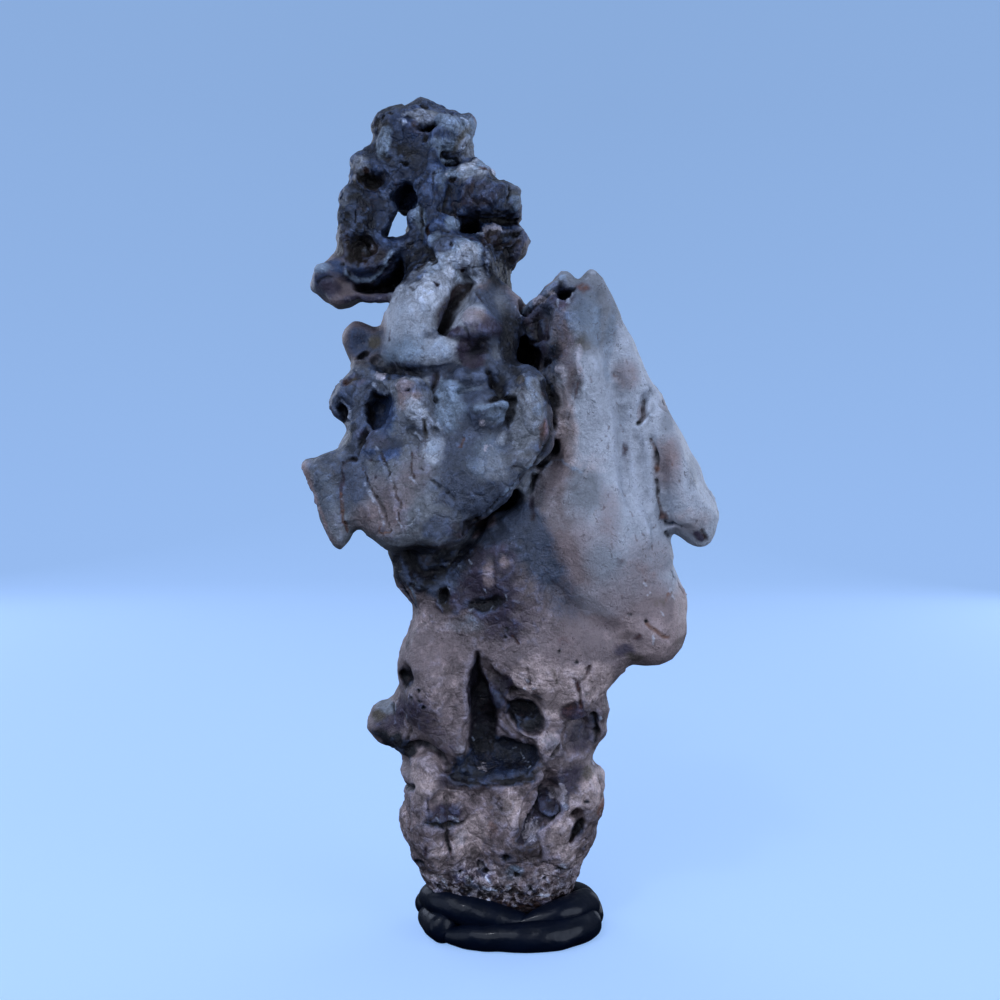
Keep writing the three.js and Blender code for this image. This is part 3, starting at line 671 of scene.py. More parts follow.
def lumps(side, rows):
    """Lumps on one side, each tinted with a mineral: place, radii, height and the mineral."""
    for u, v, ru, rv, high, mineral in rows:
        pit(u, v, ru, rv, -high, side=side, **{mineral: 0.45})


def painted_glints(width, height, white, lines, ragged=0.2):
    """Small raised crystals along short lines, painted pale: painted highlights for their glints."""
    for line in lines:
        groove(width, -height, line, ragged=ragged, white=white)


# How broken the skin is: 1 where it is knotty or crystalline, near 0 on the polished wing.
BROKEN = (  # place, radii, strength, softness of the edge
    (-14, 140, 22, 22, 1.0, 0.2), (-20, 98, 12, 10, 0.8, 0.3), (-6, 112, 12, 14, 0.5, 0.4),
    (-15, 86, 24, 14, 0.55, 0.3), (2, 100, 7, 16, 0.7, 0.4), (6, 114, 5, 10, 0.7, 0.4),
    (-6, 66, 16, 12, 0.7, 0.4), (0, 40, 26, 16, 0.6, 0.3), (0, 8, 26, 12, 1.0, 0.3),
    (0, 22, 26, 12, 0.8, 0.3),
)
for row in BROKEN:
    zone("broken", *row)

# The stone's own colours, from the broad ones to the small ones.
COLOURS = (  # mineral, place, radii, strength, softness of the edge, turn in degrees
    ("navy", -16, 137, 19, 20, 1.0, 0.15), ("steel", -16, 137, 17, 18, 0.45, 0.3),
    ("bone", 17, 98, 9, 26, 1.0, 0.25, 12), ("bone", 26, 82, 12, 16, 1.0, 0.25),
    ("bone", 18, 80, 8, 9, 0.8, 0.5), ("ash", -20, 90, 20, 18, 1.0, 0.15),
    ("ash", -5, 96, 12, 22, 1.0, 0.25), ("slate", -22, 93, 17, 12, 0.5, 0.3),
    ("slate", -4, 84, 9, 20, 0.6, 0.4), ("slate", -2, 109, 3.6, 11, 0.9, 0.3),
    # The first warm row is partly painted reflected light: warm light thrown up onto the stone's lower part.
    ("warm", 0, 14, 28, 20, 0.75, 0.3), ("warm", -4, 44, 20, 14, 0.35, 0.5),
    # Crown.
    ("steel", -15.5, 150.5, 6, 3, 0.8, 0.4), ("ash", -15.6, 150.8, 2.2, 1.2, 0.9, 0.4),
    ("cool", -23, 146.4, 1.2, 2.2, 1.0, 0.4), ("steel", -10, 148, 2.6, 3.4, 0.9, 0.4),
    ("warm", -7.9, 149, 1.0, 2.6, 0.6, 0.5), ("cool", -9.4, 150, 1.4, 1.6, 0.6, 0.5),
    ("umber", -23.6, 149.8, 1.6, 1.2, 0.9, 0.4), ("steel", -17.5, 146, 3.4, 2.4, 0.5, 0.5),
    ("umber", -26, 140, 3, 2, 0.7, 0.4), ("ash", -27.4, 142.9, 1.3, 1.1, 0.5, 0.4),
    ("steel", -29.8, 137, 1.3, 4, 0.9, 0.4, 5), ("steel", -25.5, 136.5, 1.6, 1.6, 0.7, 0.4),
    ("steel", -25, 132.5, 1.6, 2.6, 0.6, 0.5, -20), ("steel", -13, 138, 2.6, 5, 0.65, 0.4),
    ("cool", -13.2, 139.6, 1.2, 2.2, 0.4, 0.4, 10), ("cool", -16.2, 132.2, 0.9, 3.4, 0.6, 0.5, 12),
    ("steel", -6, 138, 4.4, 2.4, 0.75, 0.3), ("ash", -6.8, 139.6, 3, 1, 0.35, 0.5),
    ("cool", -7.4, 141.8, 3.8, 1.4, 0.9, 0.4, 12), ("bone", -8.4, 142.4, 2.2, 0.7, 0.8, 0.4, 20),
    ("cool", -9, 146.6, 1.6, 2.2, 0.6, 0.5), ("bone", -3.6, 143, 1.2, 0.9, 0.6, 0.4),
    ("warm", -5, 142.4, 1.2, 1.2, 0.8, 0.4), ("steel", 0.8, 137.4, 1.3, 2.2, 0.9, 0.4),
    ("umber", -1.4, 126.5, 4.4, 6.4, 1.0, 0.3), ("steel", -3, 132.4, 2.8, 0.7, 0.8, 0.4),
    ("umber", -26.4, 127, 2.4, 2.6, 0.6, 0.5), ("steel", -22.5, 129, 1.6, 1.5, 0.8, 0.4),
    ("steel", -31.5, 123.6, 3, 1.4, 0.8, 0.5, -20), ("steel", -25, 123.6, 4, 1.0, 0.8, 0.5, 18),
    ("steel", -34, 120.8, 2.6, 2.4, 0.75, 0.4), ("plum", -32.5, 120.4, 2, 1.2, 0.8, 0.4),
    ("plum", -25, 118.8, 6, 1.0, 0.8, 0.4), ("navy", -27.6, 133, 3, 7, 0.8, 0.5),
    ("navy", -20, 144, 3.4, 2, 0.8, 0.5), ("navy", -28, 137.4, 1.4, 2, 0.6, 0.5),
    # Neck and head.
    ("steel", -11.6, 129.6, 4.6, 3, 0.9, 0.4), ("cool", -11, 131.4, 1.2, 1.6, 0.7, 0.4),
    ("cool", -13.6, 128.4, 1.3, 1.2, 0.6, 0.4), ("bone", -15.5, 114, 7.6, 10.5, 1.0, 0.18),
    ("cool", -17.4, 113, 5, 8, 0.35, 0.5, -14), ("navy", -17.2, 124.6, 4.6, 2.2, 1.0, 0.3, 38),
    ("bone", -9.4, 122.8, 4.8, 3.4, 1.0, 0.3), ("cool", -13, 123.4, 2.6, 1.6, 0.6, 0.5, 30),
    ("cool", -11, 126.4, 2, 1.4, 0.5, 0.5), ("slate", -5, 123, 1.4, 3, 0.4, 0.5),
    ("navy", -2.6, 121, 1.4, 3.4, 0.8, 0.5, -15), ("cool", -19, 108, 4, 2.6, 0.7, 0.5),
    # Painted shade: the slate and navy band on this line and the first slate row below darken the crease
    # under the dome.
    ("slate", -19.4, 105, 5.6, 1.6, 1.0, 0.4, -8), ("navy", -20, 104.8, 5, 1.4, 0.95, 0.5, -8),
    ("slate", -12, 104.8, 4, 1.2, 0.8, 0.5), ("cool", -12.2, 108, 2.4, 1.8, 0.5, 0.5),
    ("umber", -8.5, 119.6, 1.3, 2.8, 0.9, 0.5, -32), ("umber", -11.2, 115.4, 1.6, 4.6, 0.85, 0.6, -30),
    ("bone", -8.6, 123.6, 2.6, 2, 0.95, 0.4), ("slate", -10, 128.2, 3, 1, 0.7, 0.4),
    ("bone", -7.2, 115, 2.8, 4.4, 0.95, 0.3, -12), ("warm", -6.4, 113.6, 2.6, 2, 0.7, 0.5),
    ("umber", -5, 112.8, 1.4, 2, 0.4, 0.5, 20), ("plum", -7.4, 111.2, 3.6, 1.4, 0.7, 0.5, 8),
    ("plum", -10.6, 111.2, 2, 1.2, 0.7, 0.4), ("slate", -2, 115.6, 2.6, 5, 0.9, 0.4, 38),
    ("ash", -1.8, 116.6, 1.2, 2.6, 0.5, 0.5, 20), ("navy", -0.9, 111, 1.6, 6, 0.8, 0.4),
    ("plum", -3.4, 112, 2, 1.8, 0.7, 0.5), ("plum", -6.6, 107.8, 3.2, 2.8, 1.0, 0.35),
    ("slate", -3, 107.6, 1.8, 3, 0.8, 0.4, -10), ("ash", -2.8, 108, 1, 1.6, 0.6, 0.5),
    ("navy", -2.6, 104.6, 1.6, 1.2, 0.7, 0.4), ("cool", -11.2, 101.6, 2.6, 2.2, 0.9, 0.4),
    ("slate", -5.4, 102, 4, 3.4, 0.9, 0.4), ("cool", -6.4, 100.4, 1.6, 1.6, 0.6, 0.5),
    ("slate", -2.8, 102.6, 2, 2.6, 0.8, 0.4), ("plum", -13.2, 102.8, 0.9, 1.8, 0.8, 0.4),
    # Side knob, ear and square cave.
    ("navy", -26.8, 110, 4.6, 4.6, 0.7, 0.3), ("steel", -27.6, 110.6, 2.6, 2.6, 0.6, 0.4),
    ("slate", -27.8, 112, 1.5, 1.2, 0.35, 0.4), ("slate", -28.4, 101, 5.4, 5.4, 0.9, 0.3),
    ("steel", -29.4, 100, 2, 3.4, 0.4, 0.5), ("plum", -27.4, 103.2, 2.6, 1.2, 0.5, 0.5),
    ("navy", -26.4, 92.6, 3.4, 3, 0.9, 0.4), ("steel", -22.4, 97.4, 2.8, 4.4, 0.9, 0.3),
    ("cool", -21.8, 96.8, 1.8, 3, 0.5, 0.5), ("warm", -17.4, 99.8, 2, 2.4, 0.8, 0.4),
    ("bone", -16, 97, 1.5, 3.2, 0.6, 0.4, 35),
    # Slab.
    ("steel", -22.6, 91.6, 4.6, 2.2, 0.7, 0.4), ("warm", -36, 86.6, 1.4, 3.4, 0.7, 0.4, 20),
    ("cool", -31.8, 83.6, 2, 4, 0.4, 0.5, 12), ("warm", -31, 78.6, 2.4, 3.2, 0.3, 0.4, 15),
    ("slate", -27.4, 85.6, 2, 4.6, 0.45, 0.6, 5), ("slate", -31.6, 85, 5.4, 7, 0.45, 0.5, 10),
    ("warm", -23, 79, 4.6, 3, 0.5, 0.5), ("warm", -21, 82.4, 5, 5, 0.45, 0.6, -10),
    ("umber", -22, 82, 6, 6, 0.2, 0.6), ("warm", -16, 88, 3, 3, 0.3, 0.6),
    ("bone", -13, 91, 2, 2.4, 0.75, 0.5), ("cool", -13, 91.6, 1.6, 2, 0.4, 0.6),
    ("ash", -13.5, 79.6, 4, 3.4, 0.6, 0.5), ("umber", -21, 76.6, 3, 1.4, 0.3, 0.5),
    ("cool", -10, 97.4, 3, 3.4, 0.9, 0.4), ("cool", -4.6, 89.4, 4, 3.6, 0.5, 0.6),
    ("bone", -3, 88, 2.4, 2.6, 0.35, 0.6), ("ash", 1, 90, 2, 2.4, 0.5, 0.5),
    ("slate", -8.4, 83.4, 4, 3, 0.9, 0.6), ("slate", -9, 90, 3, 3, 0.5, 0.6),
    ("slate", -7.4, 95.4, 2, 2.6, 0.7, 0.5), ("cool", -2.6, 97, 2.4, 1.6, 0.6, 0.5),
    ("slate", -4, 94, 9, 8, 0.25, 0.4),
    # Centre petal and the notch.
    ("ash", 3.2, 96.6, 3.4, 7.4, 1.0, 0.3, 8), ("slate", 6, 97, 1.2, 6.4, 0.6, 0.4),
    ("slate", 5.2, 91.6, 2, 1.4, 0.6, 0.5), ("bone", 3.6, 98, 1.8, 4.4, 0.4, 0.5, 12),
    ("slate", 0.6, 103, 2.6, 1.6, 0.9, 0.4), ("slate", 7, 103.6, 1.6, 3.4, 0.7, 0.5, 10),
    ("plum", 3.6, 111.6, 3.4, 5.4, 1.0, 0.3), ("navy", 1.6, 109.4, 3.6, 6, 1.0, 0.3),
    ("slate", 5.4, 117.8, 4.4, 1.6, 0.95, 0.4, 35), ("plum", 5, 116, 3, 1.6, 0.9, 0.4, 35),
    # Wing.
    ("warm", 8.6, 98.4, 2.2, 6.6, 0.2, 0.5, 5), ("blush", 9.4, 96, 2, 6.6, 0.6, 0.5, 5),
    ("ash", 13, 115.6, 7, 8, 0.9, 0.4), ("umber", 10.6, 103, 1.4, 3.4, 0.75, 0.5, 10),
    ("umber", 6.8, 96, 1, 4.6, 0.45, 0.5), ("umber", 7, 115, 2.6, 3, 0.4, 0.5),
    ("ash", 12, 86, 3, 3.4, 0.45, 0.6), ("slate", 12.6, 116, 5, 5, 0.35, 0.5),
    ("warm", 8.8, 111, 1.6, 5, 0.5, 0.5), ("warm", 8.6, 113.4, 2.2, 3.2, 0.5, 0.5),
    ("slate", 9, 116.4, 5, 4.4, 0.5, 0.5, 20), ("slate", 8.4, 108.6, 2.6, 4, 0.6, 0.5),
    ("cool", 13, 113.6, 3, 5, 0.4, 0.5), ("warm", 12, 109, 1.6, 2.4, 0.3, 0.5),
    ("cool", 17, 110, 1.0, 7, 0.5, 0.6, -8), ("warm", 19.6, 104, 2.4, 3, 0.6, 0.6),
    ("cool", 19, 96, 0.8, 6, 0.3, 0.6, 6), ("cool", 19.4, 86, 1.0, 6, 0.25, 0.6),
    ("blush", 13, 83, 4.4, 8, 0.4, 0.6), ("warm", 28.4, 92, 2, 5, 0.35, 0.6, -20),
    ("warm", 20, 91, 1.2, 4, 0.3, 0.6), ("warm", 26.6, 89.4, 2.2, 4.4, 0.5, 0.5, -8),
    ("warm", 31, 80, 3.4, 4, 0.35, 0.5), ("warm", 12.4, 85.6, 3, 1.8, 0.2, 0.6),
    ("ash", 8, 80, 4, 4.6, 0.35, 0.6), ("warm", 13, 75, 5, 4, 0.4, 0.6),
    # The dark sweep from the slab's foot down to the belly, and the belly.
    ("slate", -1, 78, 5, 7, 0.95, 0.4), ("navy", -1, 77, 3, 6, 0.4, 0.5),
    ("slate", 3.6, 75, 3.6, 7.4, 0.95, 0.5, 25), ("slate", 8, 66.4, 4, 6, 0.6, 0.6, 35),
    ("slate", 12.6, 61.4, 5, 3, 0.2, 0.6, -20), ("bone", 17, 66, 6, 5, 0.4, 0.6),
    ("blush", 24, 58, 7, 4, 0.3, 0.6), ("bone", 31, 77.6, 5, 4, 1.0, 0.4),
    ("blush", 31, 78.4, 4, 3, 0.4, 0.5), ("warm", 20, 67, 6, 5, 0.5, 0.5),
    ("warm", 24, 72, 5, 5, 0.45, 0.6), ("warm", 26, 63, 2.6, 4, 0.4, 0.5),
    ("blush", 30, 62, 2, 6, 0.6, 0.5), ("blush", 24, 57.6, 6.4, 4, 0.5, 0.4),
    ("warm", 24, 57.6, 6.4, 4, 0.4, 0.4), ("umber", 20.6, 57, 2.6, 2.4, 0.4, 0.5),
    ("navy", -15.6, 70.4, 6.4, 4.6, 1.0, 0.35, -8), ("navy", -8.6, 72.6, 3.4, 2.6, 0.9, 0.4, 20),
    ("slate", -10.6, 66.6, 4, 2.6, 1.0, 0.5), ("umber", -12, 65, 1.7, 2.2, 0.9, 0.4),
    ("plum", -4.6, 66, 5.4, 4.2, 0.95, 0.4), ("navy", -4.6, 64, 3, 1.6, 0.7, 0.5, 5),
    ("plum", -3.6, 71.6, 4.4, 3.4, 0.7, 0.5), ("plum", -2.6, 60, 4.4, 2.8, 0.6, 0.5),
    # Painted light: the warm row at -4.6, 78.4 and the ash row at 1.8, 83.8 lighten the shade under the
    # slab's edge.
    ("plum", -1, 65, 7, 6, 0.4, 0.5), ("warm", -4.6, 78.4, 2.2, 1.3, 0.9, 0.4, 10),
    ("ash", 1.8, 83.8, 2.4, 1.4, 0.9, 0.4, 40), ("slate", -13, 78.6, 2.4, 1.6, 0.5, 0.5, 20),
    # Trunk.
    ("blush", -16.4, 60.6, 2.4, 3, 0.3, 0.5), ("ash", -8.6, 60.4, 3.4, 2, 0.4, 0.6),
    ("blush", -12, 50, 3, 4, 0.4, 0.6), ("navy", -3, 34.4, 8, 3.4, 0.9, 0.3),
    ("warm", -13, 55, 4.4, 2.6, 0.5, 0.5), ("plum", -17.4, 43.4, 3.2, 4, 0.7, 0.5),
    ("plum", -12.4, 38.8, 3.4, 2.4, 0.5, 0.5, -20), ("blush", 5, 51, 4, 5, 0.6, 0.5),
    ("blush", 8.6, 49, 6.4, 5, 1.0, 0.4), ("blush", 15, 50, 3, 3.4, 1.0, 0.4),
    ("blush", 9, 47.4, 3, 2.8, 1.0, 0.4), ("umber", 13, 45.6, 1, 2, 0.5, 0.5, 20),
    ("umber", 2.6, 53, 0.8, 3.4, 0.35, 0.5, 5), ("warm", 9.4, 56, 3.4, 4, 0.5, 0.5),
    ("umber", 11.8, 43.8, 1.8, 1.4, 0.5, 0.5), ("blush", 6.8, 38.8, 2, 2.3, 1.0, 0.4),
    ("bone", 6.8, 38.8, 1.4, 1.6, 0.5, 0.4), ("plum", 12.4, 38.6, 3.2, 3.4, 0.7, 0.4, 25),
    ("slate", 12.4, 39.6, 2, 2.6, 0.25, 0.4, 25), ("warm", 16.4, 40, 1.6, 4, 0.6, 0.4),
    ("plum", -23, 41, 3.4, 3, 0.75, 0.4), ("ash", -23.6, 43.2, 2.4, 1.2, 0.8, 0.4),
    ("navy", -21.4, 36.4, 2.6, 2.4, 1.0, 0.4, -30),
    # Lower trunk.
    ("blush", -16, 32.4, 2.6, 3.4, 0.9, 0.5), ("plum", -11.6, 31.6, 2, 1.6, 0.6, 0.5),
    ("blush", -11.6, 28.4, 2.6, 1.6, 0.8, 0.5), ("plum", -12, 25.2, 3.4, 1.4, 0.8, 0.45),
    ("blush", -8.8, 19.8, 2.4, 3.6, 1.0, 0.4), ("bone", -8.8, 20, 1.6, 2, 0.4, 0.5),
    ("blush", -13.4, 18, 1.6, 3, 0.6, 0.5), ("umber", -15.6, 21, 1.2, 3, 0.3, 0.5),
    ("warm", -3, 24.6, 3.4, 4.6, 0.7, 0.5), ("plum", -6, 31.6, 6, 1.6, 0.6, 0.5),
    ("blush", 0.6, 26.4, 1.8, 4, 0.8, 0.5, 20), ("umber", 3.4, 21, 2, 2.6, 0.6, 0.4, -30),
    ("blush", 9.4, 21.6, 2.2, 3.4, 1.0, 0.4, -30), ("plum", 11, 31, 3, 3, 0.8, 0.5, 20),
    ("blush", 15, 28.6, 2.6, 3, 0.8, 0.4), ("blush", 12, 16.6, 2.6, 2.6, 0.9, 0.5),
    ("umber", 1.6, 17.6, 4, 2, 0.5, 0.6, -10), ("umber", -6, 13.4, 2.4, 1.6, 0.6, 0.5),
    ("plum", -10, 12.4, 2, 2, 0.8, 0.5), ("blush", -14, 13, 1.6, 1.6, 0.7, 0.5),
    ("blush", 6.4, 13.6, 1.8, 1.8, 0.7, 0.5), ("cool", 0.4, 14, 1.6, 1.6, 0.35, 0.5),
    # Small touches all over, laid last.
    ("cool", -7.8, 124.2, 2.4, 3.6, 1.0, 0.4, -10), ("bone", -7.8, 124, 2, 3.2, 0.9, 0.4, -10),
    ("slate", -12, 127, 1.8, 1.4, 1.0, 0.4), ("navy", -2.8, 124.6, 2.4, 4, 1.0, 0.3, 15),
    # Painted shade: the first slate row here darkens the shade under the crown's arm.
    ("slate", -16.8, 121.2, 2.6, 1.0, 0.7, 0.4, 35), ("slate", -6.4, 117.6, 1.6, 2.2, 0.6, 0.4),
    ("slate", -13.6, 110.8, 2.2, 1, 0.6, 0.4, 10), ("navy", 7.6, 108.4, 1.5, 1.8, 0.9, 0.4),
    ("slate", 3.2, 104.8, 2.2, 1.4, 0.9, 0.4, -20), ("slate", -6.4, 99.8, 2.4, 1.2, 0.7, 0.4),
    ("slate", -16, 101.4, 2, 1, 0.7, 0.4), ("navy", -20.8, 103.6, 1.6, 0.9, 0.7, 0.4),
    ("slate", -25.6, 86, 1.4, 3.4, 0.7, 0.4, 5), ("ash", 27.4, 96.4, 1.8, 3, 0.6, 0.5, -20),
    ("ash", 32, 88, 1.8, 4, 0.6, 0.5, -20), ("ash", 15.6, 71.6, 4, 4, 0.5, 0.6),
    ("umber", -11.4, 63.6, 2.6, 1.6, 0.9, 0.4), ("umber", -25, 125.4, 4, 2.2, 0.6, 0.5, -15),
    ("umber", -30.6, 128, 1.6, 3, 0.7, 0.4), ("umber", -6, 137, 4, 3, 0.5, 0.5),
    ("umber", -16, 148.8, 3, 1.6, 0.6, 0.5), ("cool", -11.6, 144.6, 1.6, 2, 0.9, 0.4),
    # Painted shade: the second umber row here darkens the foot just above the putty.
    ("umber", 1.8, 22, 1.8, 2.6, 0.6, 0.4, -20), ("umber", -6, 10.4, 11, 1.4, 0.7, 0.4),
    # Painted shade: the first navy row here darkens the shade under the crown's arm.
    ("navy", -20.4, 120.8, 2.4, 1.2, 1.0, 0.3, 15), ("navy", -2.8, 102, 1.8, 2.6, 0.9, 0.4, 10),
    ("slate", -10, 104.4, 2, 1.8, 1.0, 0.4), ("navy", 6.2, 101.2, 1.4, 2.6, 1.0, 0.3, 15),
    ("steel", -22.6, 97.6, 2.2, 3.4, 1.0, 0.3), ("slate", -12.6, 77.8, 2.6, 1.8, 0.9, 0.4, 15),
    ("ash", 13, 83.6, 3.4, 3.4, 0.7, 0.6), ("warm", 17, 80, 2.6, 5, 0.45, 0.6),
    ("warm", 27.4, 87, 2.4, 4.4, 0.4, 0.6, -10), ("warm", 9.4, 107, 1.4, 6, 0.3, 0.5, 5),
    ("plum", 8.4, 118, 2.2, 2.4, 0.8, 0.4, 20), ("navy", 8, 119.6, 1.6, 1, 0.7, 0.4, 30),
    ("plum", -10, 65, 2.6, 1.6, 0.8, 0.5), ("blush", 8, 49.2, 3.6, 3, 1.0, 0.5, -30),
    ("blush", 1.6, 49.6, 1.6, 3, 1.0, 0.4, 20), ("blush", 3, 52, 2, 2, 0.9, 0.5),
    ("plum", -3, 48.8, 1.0, 2, 0.9, 0.4), ("blush", -6.4, 22.6, 2, 2.4, 1.0, 0.4),
    ("blush", -6.8, 18.4, 1.6, 2.6, 1.0, 0.4), ("umber", -13.6, 25, 1.8, 1, 1.0, 0.4),
    ("blush", 11.6, 26.4, 1.8, 1.8, 1.0, 0.4, -30), ("umber", 12.2, 22, 1.2, 1.6, 1.0, 0.4, -30),
    ("plum", -6, 12.4, 3, 1.6, 0.8, 0.4), ("umber", 13, 17, 1.6, 2, 0.6, 0.5),
    ("umber", -8.4, 31.4, 3.4, 1, 1.0, 0.4), ("umber", 1.6, 31.8, 3.4, 1, 0.9, 0.4, 10),
    # Painted shade: the foot's bottom, where the putty rolls meet it, made darker.
    ("umber", 0, 7, 22, 4.2, 0.9, 0.4),
)
for row in COLOURS:
    zone(*row)


# ---- the outline: corners and edges drawn out or in ----------------------------------------

CORNERS = (  # place, radius, and how far it is drawn
    # Crown and its window.
    (-25, 148, 2.6, 0.7, 0.2), (-7.4, 151.6, 2.6, 0.5, 0.6), (-6, 143.6, 1.6, 0.1, 0.9),
    (-2.6, 141, 2.4, -0.5, -0.7), (2.4, 129.6, 4, 0.9, 0), (-31, 141, 4, 0.9, -0.2),
    (-34.8, 122, 3, -0.4, 0), (-31, 118.4, 3, -0.2, -0.8), (-25.4, 118.4, 3, 0, -0.5),
    (-18, 133, 2.2, -0.9, 0.3), (-19.6, 136.2, 2, 0.3, -0.6), (-22, 130.4, 1.8, -0.8, -0.2),
    # Ear, slab and wing.
    (-30.4, 95.2, 3, 1.5, 0.4), (-36.8, 88.4, 2.8, -0.8, 0.5), (-29.4, 76, 2, 0.4, 0.2),
    (9.2, 122.4, 2.4, 0, 0.6), (11.8, 121.6, 1.2, 0, -0.3), (14, 122.8, 2.6, 0.1, 0.5),
    (25.4, 101.4, 3, 0.3, 0.1), (36, 81.4, 5, 0.7, 0.1), (30, 76, 2.6, 0, 0.4), (27.4, 73, 3.4, 0.8, 0),
    # Trunk.
    (-20.6, 67.4, 3, -0.5, 0), (-20.4, 52.4, 6, -0.7, 0), (-25.4, 42.6, 2.4, -0.5, 0.3),
    (-20.8, 33, 2.6, 1.5, 0), (-20.6, 21.6, 8, -0.8, 0), (-18.6, 14.6, 2.6, -1.0, 0),
    (16, 38.4, 2.6, 0.9, 0),
)
for row in CORNERS:
    skin.grab(*row)
skin.finish_layer(0)

# ---- first layer: caves, broken faces and big lumps ----------------------------------------

# Crown: the top block, the right shoulder and the left arm.
pit(-14.8, 148.9, 2.3, 1.0, 2.6, ink=0.95)
pit(-16, 150.8, 2.4, 1.3, -0.7, ash=0.7)
pit(-11.5, 149.5, 2, 1.8, -0.6, cool=0.9)
pit(-8.7, 145.5, 1.6, 2, -0.8, ash=0.7)
pit(-11, 143.2, 1.7, 0.7, 2.0, ink=0.9)
pit(-19.3, 142.5, 1.1, 0.5, 0.9, ink=0.7)
pit(-22.2, 143.6, 1.4, 1.0, 0.7, ink=0.5)
facet([(-25, 148.2), (-24.8, 151), (-22, 150.9), (-21.8, 148.6)], ink=0.95)
pit(-4.8, 142.5, 1.5, 1.3, -0.6, warm=0.9)
cave([(-10.4, 131), (-9.6, 133.6), (-6, 134.2), (-5.3, 132.6), (-6.5, 130.6)], 3.0, ink=1)
cave([(-9, 133.2), (-4, 134.8), (1.6, 134.4), (1.2, 132.8), (-4, 132.6)], 1.5, ink=1)
pit(0.5, 136.5, 1.5, 1.5, -0.6, cool=0.6)
facet([(-4.5, 119.5), (-4.2, 128), (1.2, 130), (0.6, 121)], (0.2, 0), ink=0.9)
facet([(-2.2, 128.6), (1.9, 130.8), (1.9, 132.4), (-2.5, 131.2)], (0, 0.5), ink=0.9)
pit(-26.8, 142.2, 1.8, 1.5, -0.7, ash=0.35)
pit(-24.5, 141.8, 1.4, 1.2, -0.6, steel=0.6)
pit(-25.6, 139.8, 2.6, 1.6, 1.8, -20, ink=0.7, olive=0.9)
cave([(-23.6, 133.8), (-21, 137.6), (-17.6, 139.2), (-17.2, 136.5), (-19, 133.8), (-21.5, 132.8)], 3.2, ink=1)
pit(-28, 127, 2.6, 3, 0.9, ink=0.35, olive=0.5)
cave(
    [
        (-28.9, 119.9), (-28.8, 121.4), (-25.5, 121.8), (-22.5, 123), (-21.3, 125), (-20, 126),
        (-19.4, 121), (-21, 119.8),
    ],
    4.0, 0.8, ink=1,
)
pit(-34, 123.4, 1.8, 1.2, -0.6, cool=0.7)
# Neck and its small knob.
pit(-8.8, 124.4, 2.2, 2, -1.2)
pit(-10.7, 132.4, 1.4, 1.6, -0.9, white=0.35)
pit(-13.5, 130.6, 1.3, 1.2, -0.8)
pit(-14.4, 128, 1.2, 1.6, -0.7)
pit(-14.8, 130.3, 0.7, 1.1, 1.2, rust=0.9, ink=0.5)
# Head and its petal.
groove(2.6, 0.9, [(-8, 121), (-9.3, 118.8), (-10.9, 116), (-12.2, 112.6)], ragged=0.2)
cave(
    [
        (-6.8, 119.2), (-8.2, 117.3), (-9.7, 115.2), (-11, 112.9), (-11.3, 111), (-10.1, 110),
        (-7.5, 109.8), (-4.4, 110.2), (-1.8, 111.6), (-2.6, 113.8), (-4.2, 116),
    ],
    -1.6, 0.7, ragged=0.1,
)
# The dark along the petal's left edge is partly painted shadow under the petal; the umber is the cleft's
# brown.
groove(
    0.9, 1.3,
    [(-7.8, 120.2), (-8.6, 118.9), (-9.5, 117.6), (-10.8, 115.8), (-11.7, 113.8), (-12.2, 111.8)],
    ragged=0.2, umber=0.9, ink=0.5,
)
pit(-12.6, 108, 2.6, 2, -0.7)
pit(-16.8, 107.8, 3, 1.6, -0.4)
pit(-20, 111, 3, 4, -0.3)
groove(1.6, 0.9, [(-24, 106.6), (-22, 105.4), (-19.6, 104.4), (-17.5, 104.2)])
groove(1.4, 0.5, [(-17.5, 104.4), (-13, 104.9), (-9, 106)])
pit(-10.5, 101.7, 2.2, 1.5, -0.8, cool=0.6)
pit(-8.8, 104.2, 1.3, 1.6, -0.7, slate=0.8)
pit(-5.5, 108.6, 2.6, 2.2, 1.0, 20, ink=0.7)
stain(-0.8, 110, 1, 3, ink=0.8)
cave(
    [
        (-0.3, 112.7), (3, 113), (5.2, 109), (5, 105.4), (1.4, 104.6), (-1.2, 106), (-1.6, 107.5),
        (-1.5, 110.5),
    ],
    3.0, 1.2, ink=1,
)
# Side knob, ear and square cave.
pit(-26.6, 108, 1.4, 1.0, 1.6, 30, ink=0.9, olive=0.6)
cave([(-31.3, 98.7), (-30, 99.6), (-28.4, 98.4), (-28.6, 96.4), (-30.2, 95.8)], 1.8, 0.7, ink=0.6, slate=0.8)
cave(
    [(-24.7, 101.4), (-20, 100.5), (-19.9, 96.5), (-22, 95), (-24.8, 93), (-26, 93.4), (-25.3, 98)],
    1.0, 0.7, ragged=0.2,
)
# Painted shadow: dark down the square cave's left wall and under its top edge.
stain(-25, 97.6, 0.7, 4.4, 5, ink=0.9)
stain(-22.5, 100.8, 2.6, 0.7, ink=0.7)
pit(-18.3, 102, 1.4, 1.3, -0.8, warm=0.6, white=0.4)
pit(-29.2, 103, 1.1, 0.8, 1.0, rust=0.8, ink=0.5)
